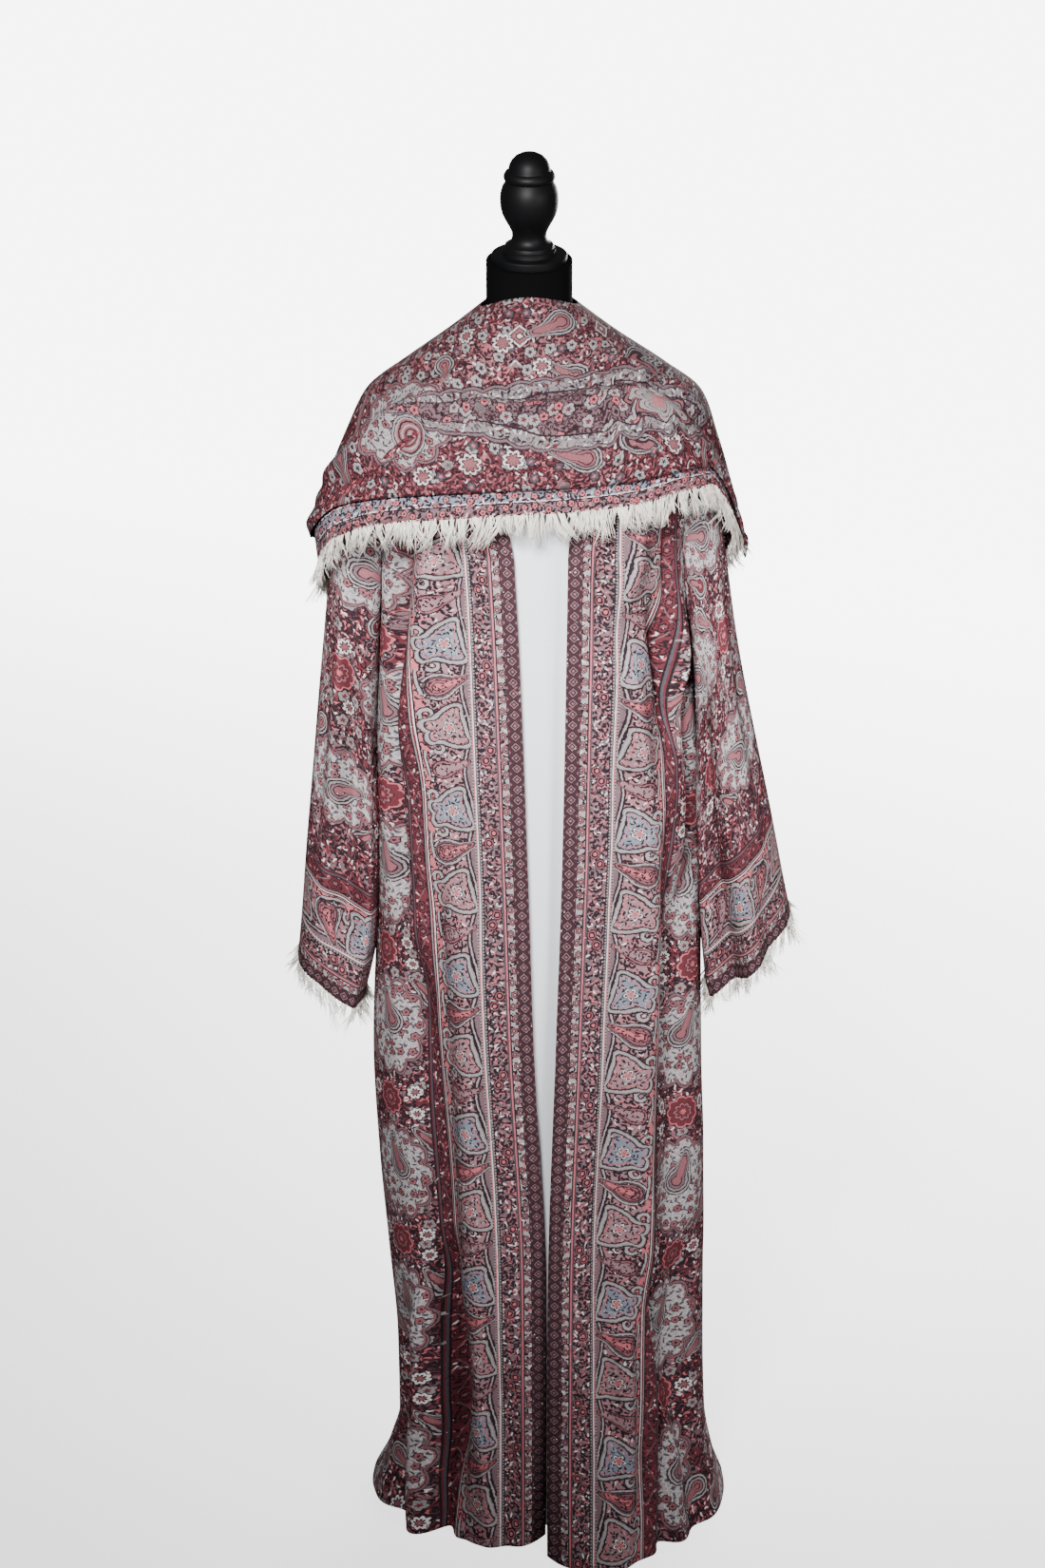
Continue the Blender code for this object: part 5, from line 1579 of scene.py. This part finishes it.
def strands(name, roots, outward, threads):
    """Fringe threads in uneven tufts along a closed line of roots, each a thin tapering strand."""
    length, spread, radius, per_metre, seed = threads
    rng = np.random.default_rng(seed)
    ahead = np.roll(roots, -1, axis=0)
    lengths = np.linalg.norm(ahead - roots, axis=1)
    run = running(lengths)
    tufts = int(run[-1] / TUFT_PITCH)
    count = int(run[-1] * per_metre)
    tuft = rng.integers(0, tufts, count)
    tuft_middle = (np.arange(tufts) + 0.5 + rng.uniform(-TUFT_JITTER, TUFT_JITTER, tufts)) * run[-1] / tufts
    tuft_lean = rng.normal(0.0, TUFT_LEAN, (tufts, 2))
    tuft_reach = rng.normal(0.0, TUFT_REACH, tufts)
    stray = rng.random(count) < STRAY_SHARE
    scatter = rng.normal(0.0, 1.0, count) * TUFT_PITCH * np.where(stray, 0.8, 0.28)
    at = (tuft_middle[tuft] + scatter) % run[-1]
    i = np.clip(np.searchsorted(run, at, side="right") - 1, 0, len(roots) - 1)
    t = ((at - run[i]) / lengths[i])[:, None]
    root = roots[i] + (ahead - roots)[i] * t
    along = (ahead - roots)[i] / lengths[i][:, None]
    side = outward[i] + (np.roll(outward, -1, axis=0) - outward)[i] * t
    gather = -scatter / length * np.where(stray, 0.0, 0.8)
    lean = along * (tuft_lean[tuft, 0] + gather + rng.normal(0.0, 0.10, count) * (1.0 + stray))[:, None]
    lean += side * (0.10 + 0.6 * tuft_lean[tuft, 1] + rng.normal(0.0, 0.10, count))[:, None]
    reach = length * np.clip(1.0 + tuft_reach[tuft] + 0.12 * rng.normal(size=count), 0.45, 1.5)
    root = root + side * rng.uniform(-0.0012, 0.0006, count)[:, None]
    sway = rng.normal(0.0, 0.05, (count, 2)) * length
    points = []
    for k, (share, thick) in enumerate(THREAD_WIDTHS):
        fall = np.array([0.0, 0.0, -1.0]) * (reach * share)[:, None]
        drift = lean * (reach * max(share, 0.0) ** 1.4)[:, None] * spread
        bow = math.sin(math.pi * max(share, 0.0))
        centre = root + fall + drift + along * sway[:, :1] * bow + side * sway[:, 1:] * bow
        for corner in range(3):
            angle = 2.0 * math.pi * corner / 3.0 + k * 0.5
            arm = along * math.cos(angle) + side * math.sin(angle)
            points.append(centre + arm * radius * thick)
    points = np.stack(points, axis=1).reshape(-1, 3)
    base = np.arange(count)[:, None] * 3 * len(THREAD_WIDTHS)
    a, b, c, d = face_corners(len(THREAD_WIDTHS), 3, True)
    quads = (base[:, :, None] + np.stack([a, b, d, c], 1)[None]).reshape(-1, 4)
    caps = (base[:, :, None] + np.array([(2, 1, 0), (9, 10, 11)])[None]).reshape(-1, 3)
    return add_mesh(name, points, quads.tolist() + caps.tolist())


def coordinates(inward, along, start):
    """Cloth coordinates of a grid, as one vector for each point."""
    shape = np.broadcast(inward, along).shape
    return np.stack([np.broadcast_to(part, shape) for part in (inward, along, start)], axis=-1)


def dress(made, finish, node):
    made.data.materials.append(finish)
    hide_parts(node)
    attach(made, "root")


def hang_fringe(name, grid, outward, threads, finish, node):
    """Threads along the lower edge of a tube of cloth."""
    normals = grid_normals(grid, True)[-1] * outward
    made = strands(name, grid[-1] - normals * WALL * 0.5, normals, threads)
    dress(made, finish, node)
    return made


def build_panels(weave):
    """The fronts and the back."""
    heights = np.arange(0.0, YOKE, ROW_STEP)
    rises = np.linspace(0.0, 1.0, YOKE_ROWS)
    fine, wide = np.linspace(0.0, FRONT_SPLIT, FRONT_FINE), np.linspace(FRONT_SPLIT, 1.0, FRONT_WIDE)
    shares = np.concatenate([fine, wide[1:]])
    edges = [("last_column", 1), ("last_row", 1), ("first_row", 2)]
    made = {}
    for panel, outward, shift in (("left", 1.0, LEFT_SHIFT), ("right", -1.0, 0.0)):
        grid, at, up = panel_grid(panel, heights, rises, shares)
        coords = coordinates(at, up + shift, BORDER_WIDTH)
        made[f"front_{panel}"] = cloth_mesh(
            f"abaya_front_{panel}", grid, coords, outward=outward, flat_edges=edges
        )
    grid, at, up = panel_grid("back", heights, rises, np.linspace(0.0, 1.0, BACK_ACROSS))
    coords = coordinates(at + BACK_SHIFT, up, BACK_FIELD)
    edges = [("first_column", 1), *edges]
    made["back"] = cloth_mesh("abaya_back", grid, coords, flat_edges=edges)
    for node, piece in made.items():
        dress(piece, weave, node)
    return made


def build_sleeves(weave, wool):
    """The sleeves with their cuff fringes."""
    made = {}
    half = SLEEVE_AROUND // 2
    for side, sign in (("left", 1.0), ("right", -1.0)):
        grid = sleeve_grid(side, np.linspace(0.0, 1.0, SLEEVE_ROWS), SLEEVE_AROUND)
        down = down_cloth(grid)
        from_cuff = down[-1][None] - down
        ring = np.linalg.norm(np.roll(grid[-1], -1, axis=0) - grid[-1], axis=1)
        run = running(ring)[:-1]
        place = np.where(np.arange(SLEEVE_AROUND) < half, run, run - ring.sum())
        coords = coordinates(from_cuff, place[None], SLEEVE_FIELD)
        far_side = coordinates(from_cuff, (place - ring.sum())[None], SLEEVE_FIELD)
        piece = cloth_mesh(
            f"abaya_sleeve_{side}", grid, coords, closed=True, outward=sign,
            flat_edges=[("first_row", 0)], seam=(half, far_side),
        )
        dress(piece, weave, f"sleeve_{side}")
        made[f"sleeve_{side}"] = piece
        fringe = f"cuff_fringe_{side}"
        made[fringe] = hang_fringe(f"abaya_{fringe}", grid, sign, CUFF_THREADS, wool, fringe)
    return made


def crease_shawl(grid, degrees, normals):
    """The shawl's grid with its creases pressed in."""
    moved = np.zeros(grid.shape[:2])
    spots = np.stack([np.repeat(degrees[None], len(grid), axis=0) * CREASE_SCALE, grid[:, :, 2]], axis=2)
    flat = spots.reshape(-1, 2)
    for path, width, depth in SHAWL_CREASES:
        best = np.full(len(flat), np.inf)
        for shift in (-360.0, 0.0, 360.0):
            line = rounded([((angle + shift) * CREASE_SCALE, height) for angle, height in path], parts=5)
            best = np.minimum(best, far_from_path(flat, line))
        moved += (CREASE_STRENGTH * depth * np.exp(-((best / width) ** 2))).reshape(moved.shape)
    turn = np.radians(degrees)[None]
    beside = np.broadcast_to(np.sin(turn) * SHAWL_RADIUS, moved.shape)
    swell = soft_waves(np.cos(turn) * SHAWL_RADIUS + grid[:, :, 2], beside, SHAWL_SEED)
    rows = np.linspace(0.0, 1.0, len(grid))[:, None]
    keep = smooth_step(rows / CREASE_TOP_FADE) * smooth_step((1.0 - rows) / CREASE_EDGE_FADE)
    edge, groove = (
        np.exp(-(((rows - row) / EDGE_ROLL_WIDTH) ** 2)) for row in (EDGE_ROLL_ROW, EDGE_GROOVE_ROW)
    )
    return grid - normals * ((moved + SHAWL_SWELL * swell) * keep - EDGE_ROLL * (edge - groove))[:, :, None]


def shawl_coordinates(grid, down):
    """Cloth coordinates of a shawl layer: round from the front, down from the neck, and the angle."""
    around = grid.shape[1]
    half = around // 2
    turn = np.radians(half_turns(np.arange(around) * 360.0 / around))[None]
    lengths = np.linalg.norm(np.roll(grid, -1, axis=1) - grid, axis=2)
    girth = lengths.sum(axis=1, keepdims=True)
    run = running(lengths.T)[:-1].T
    run = np.where(np.arange(around)[None] < half, run, run - girth)
    coords = coordinates(run, down, turn)
    return coords, (half, coords - coordinates(girth, down * 0.0, 2.0 * math.pi))


def build_shawl(weave, border, wool):
    """The shawl's two layers and its fringe."""
    grid, degrees = shawl_grid("upper", SHAWL_AROUND, UPPER_ROWS)
    grid = crease_shawl(grid, degrees, -grid_normals(grid, True))
    coords, seam = shawl_coordinates(grid, down_cloth(grid))
    upper = cloth_mesh("shawl_upper_cloth", grid, coords, closed=True, outward=-1.0, seam=seam)
    dress(upper, weave, "shawl_upper")
    grid, degrees = shawl_grid("under", SHAWL_AROUND, UNDER_ROWS, start=UNDER_START, inset=LAYER_GAP)
    down = down_cloth(grid)
    coords, seam = shawl_coordinates(grid, down)
    for part in (coords, seam[1]):
        part[:, :, 1] = part[:, :, 0]
        part[:, :, 0] = down[-1][None] - down
    under = cloth_mesh("shawl_under_cloth", grid, coords, closed=True, outward=-1.0, seam=seam)
    dress(under, border, "shawl_under")
    fringe = hang_fringe("shawl_fringe_threads", grid, -1.0, SHAWL_THREADS, wool, "shawl_fringe")
    return {"shawl_upper": upper, "shawl_under": under, "shawl_fringe": fringe}


def build_inner_panel(crepe):
    """The plain panel between the fronts, with faint upright folds."""
    rows = []
    for height in np.linspace(PANEL[0].height, PANEL[-1].height, PANEL_ROWS):
        level = section(PANEL, height)
        x = level.middle + level.half_width * np.linspace(-1.0, 1.0, PANEL_ACROSS)
        ripple = sum(size * np.sin(x * across + height * up) for size, across, up in PANEL_RIPPLES)
        rows.append(np.stack([x, PANEL_BEND * x**2 - level.depth + ripple, np.full_like(x, height)], axis=1))
    made = cloth_mesh("inner_panel_cloth", np.stack(rows), None)
    dress(made, crepe, "inner_panel")
    return made


def crystals(host, count, seed, finish):
    """Small cut crystals on a piece's outer faces, each a flat octahedron."""
    rng = np.random.default_rng(seed)
    faces = host.data.polygons
    outer = int(len(faces) * OUTER_FACES)
    centres, normals = np.empty(len(faces) * 3), np.empty(len(faces) * 3)
    faces.foreach_get("center", centres)
    faces.foreach_get("normal", normals)
    chosen = rng.choice(outer, count, replace=False)
    centre, normal = centres.reshape(-1, 3)[chosen], normals.reshape(-1, 3)[chosen]
    along = np.cross(normal, (0.0, 0.0, 1.0))
    along /= np.maximum(np.linalg.norm(along, axis=1), 1e-6)[:, None]
    beside = np.cross(normal, along)
    size = rng.uniform(*CRYSTAL_SIZES, count)[:, None] * CRYSTAL_RADIUS
    turn = rng.uniform(0.0, math.pi / 2.0, count)[:, None]
    corners = [centre + normal * (size * CRYSTAL_TIP), centre - normal * (size * CRYSTAL_GIRDLE)]
    for k in range(4):
        angle = turn + k * math.pi / 2.0
        out = along * np.cos(angle) + beside * np.sin(angle)
        corners.append(centre + out * size + normal * (size * CRYSTAL_GIRDLE))
    points = np.stack(corners, axis=1).reshape(-1, 3)
    pattern = [(0, 2 + k, 2 + (k + 1) % 4) for k in range(4)]
    pattern += [(1, 2 + (k + 1) % 4, 2 + k) for k in range(4)]
    triangles = (np.arange(count)[:, None, None] * 6 + np.array(pattern)[None]).reshape(-1, 3)
    made = add_mesh(f"crystals_{host.name}", points, triangles.tolist(), smooth=False)
    made.data.materials.append(finish)
    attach(made, "root")
    return made


def closed_rings(name, rings):
    """A closed smooth solid through rings of points, with flat ends."""
    around = len(rings[0])
    a, b, c, d = face_corners(len(rings), around, True)
    last = (len(rings) - 1) * around
    ends = [tuple(reversed(range(around))), tuple(range(last, last + around))]
    made = add_mesh(name, np.concatenate(rings), np.stack([a, b, d, c], 1).tolist() + ends)
    made.data.set_sharp_from_angle(angle=SHARP_ANGLE)
    return made


def build_form(jersey, wood):
    """The torso with its neck, and the turned cap on the neck's leaning plate."""
    angles = ring_angles(FORM_AROUND)
    heights = [np.linspace(low.height, high.height, FORM_STEPS)[:-1] for low, high in zip(TORSO, TORSO[1:])]
    levels = [section(TORSO, height) for height in [*np.concatenate(heights), TORSO[-1].height]]
    levels += [(float(shoulder_height(step.half_width)), *step) for step in SHOULDER_STEPS]
    levels.append((NECK_FOOT, NECK_RADIUS, NECK_RADIUS, NECK_RADIUS))
    rings = []
    for height, half_width, front, back in levels:
        x, y = oval(angles, half_width, half_width, front, back, TORSO_BOXINESS)
        rings.append(np.stack([x, y, np.full_like(x, height)], axis=1))
    top = rings[-1].copy()
    top[:, 2] = NECK_TOP + top[:, 1] * math.tan(NECK_TILT)
    rings.append(top)
    dress(closed_rings("form_jersey_torso", rings), jersey, "form_torso")
    rings = []
    for radius, height in FINIAL:
        x, y = radius * np.sin(angles), -radius * np.cos(angles)
        c, s = math.cos(NECK_TILT), math.sin(NECK_TILT)
        rings.append(np.stack([x, y * c - height * s, y * s + height * c + NECK_TOP + SEAM], axis=1))
    dress(closed_rings("form_turned_cap", rings), wood, "form_finial")


def floor_material():
    """Pale paint with a painted glow that only the camera sees, dimmer in front of the garment and at its
    left foot.
    """
    graph = Graph("floor_paint_and_painted_glow")
    place = graph.node("ShaderNodeTexCoord").outputs["Object"]
    grain = graph.noise_node(place, 3.0, 2.0, "3D").outputs["Fac"]
    paint = graph.ramp(grain, list(zip((0.3, 0.7), FLOOR_TONES)), step=False)
    graph.plug(paint, graph.shader.inputs["Base Color"])
    graph.gloss(0.95, 0.0)
    x, y, _ = graph.parts(place)
    near = graph.node("ShaderNodeMapRange", interpolation_type="SMOOTHSTEP")
    reach = graph.less(graph.far(x, y), 4.0)
    graph.plug(graph.math("MAXIMUM", graph.total(y, graph.times(x, 0.8)), reach), near.inputs["Value"])
    for key, value in FLOOR_GLOW.items():
        near.inputs[key].default_value = value
    # Painted glow: camera rays see the floor glow, less near the garment's front and towards its left
    seen = graph.node("ShaderNodeLightPath").outputs["Is Camera Ray"]
    graph.shader.inputs["Emission Color"].default_value = (1.0, 1.0, 1.0, 1.0)
    graph.plug(graph.times(seen, near.outputs[0]), graph.shader.inputs["Emission Strength"])
    return graph.material


def build_studio():
    """The camera, a pale floor and soft light."""
    camera = add_object("camera", bpy.data.cameras.new("camera"))
    camera.data.lens = CAMERA_LENS
    camera.location = CAMERA_PLACE
    camera.rotation_euler = (CAMERA_TILT, 0.0, 0.0)
    bpy.context.scene.camera = camera
    mesh = bpy.data.meshes.new("floor")
    corners = [(-1, -1), (1, -1), (1, 1), (-1, 1)]
    mesh.from_pydata([(x * FLOOR_HALF, y * FLOOR_HALF, FLOOR_LEVEL) for x, y in corners], [], [(0, 1, 2, 3)])
    floor = add_object("floor", mesh)
    mesh.materials.append(floor_material())
    world = bpy.data.worlds.new("studio")
    bpy.context.scene.world = world
    world.use_nodes = True
    tree = world.node_tree
    air = tree.nodes["Background"]
    air.inputs[0].default_value = AIR_TONE
    seen = tree.nodes.new("ShaderNodeLightPath")
    strength = tree.nodes.new("ShaderNodeMapRange")
    tree.links.new(seen.outputs["Is Camera Ray"], strength.inputs["Value"])
    strength.inputs["To Min"].default_value = AIR_LIGHT
    strength.inputs["To Max"].default_value = AIR_SEEN
    tree.links.new(strength.outputs[0], air.inputs[1])
    for name, place, target, width, height, spread, power in LAMPS:
        lamp = bpy.data.lights.new(name, "AREA")
        lamp.shape = "RECTANGLE"
        lamp.size, lamp.size_y = width, height
        lamp.energy = power
        lamp.spread = math.radians(spread)
        made = add_object(name, lamp)
        made.location = place
        made.rotation_euler = (Vector(place) - Vector(target)).to_track_quat("Z", "Y").to_euler()


def main():
    build_studio()
    weave, shawl_weave, border_weave = panel_material(), shawl_material(), border_material()
    wool = plain_material("cream_wool", (0.80, 0.75, 0.67), 0.9, 300.0, 0.0003, sheen=0.15, shine=0.2)
    crepe = plain_material("pale_crepe", (0.74, 0.76, 0.79), 0.75, 900.0, 0.0002, mottling=0.04)
    jersey = plain_material("black_jersey", (0.0016, 0.0016, 0.0018), 0.95, 700.0, 0.0002, shine=0.04)
    wood = plain_material("black_lacquer", (0.0022, 0.0022, 0.0026), 0.50, 60.0, 0.0001, shine=0.15)
    steel = plain_material("black_powder_coat", (0.010, 0.010, 0.011), 0.5, 800.0, 0.0001, metallic=0.4)
    pieces = build_panels(weave)
    pieces.update(build_sleeves(weave, wool))
    pieces.update(build_shawl(shawl_weave, border_weave, wool))
    pieces["inner_panel"] = build_inner_panel(crepe)
    build_form(jersey, wood)
    glass = plain_material("cut_crystal", (0.85, 0.85, 0.88), 0.08, 60.0, 0.0, mottling=0.0, shine=1.0)
    sparkles = {}
    for i, (node, count) in enumerate(CRYSTALS):
        sparkles[node] = crystals(pieces[node], count, CRYSTAL_SEED + i, glass)
    for node in ("form_pole", "form_base"):
        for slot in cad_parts[node].material_slots:
            slot.material = steel
    for node, width, length, area, held, rests_on, fringe in SHEETS:
        parts = [sparkles[node]] if node in sparkles else []
        parts += [pieces[fringe]] if fringe else []
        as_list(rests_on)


main()
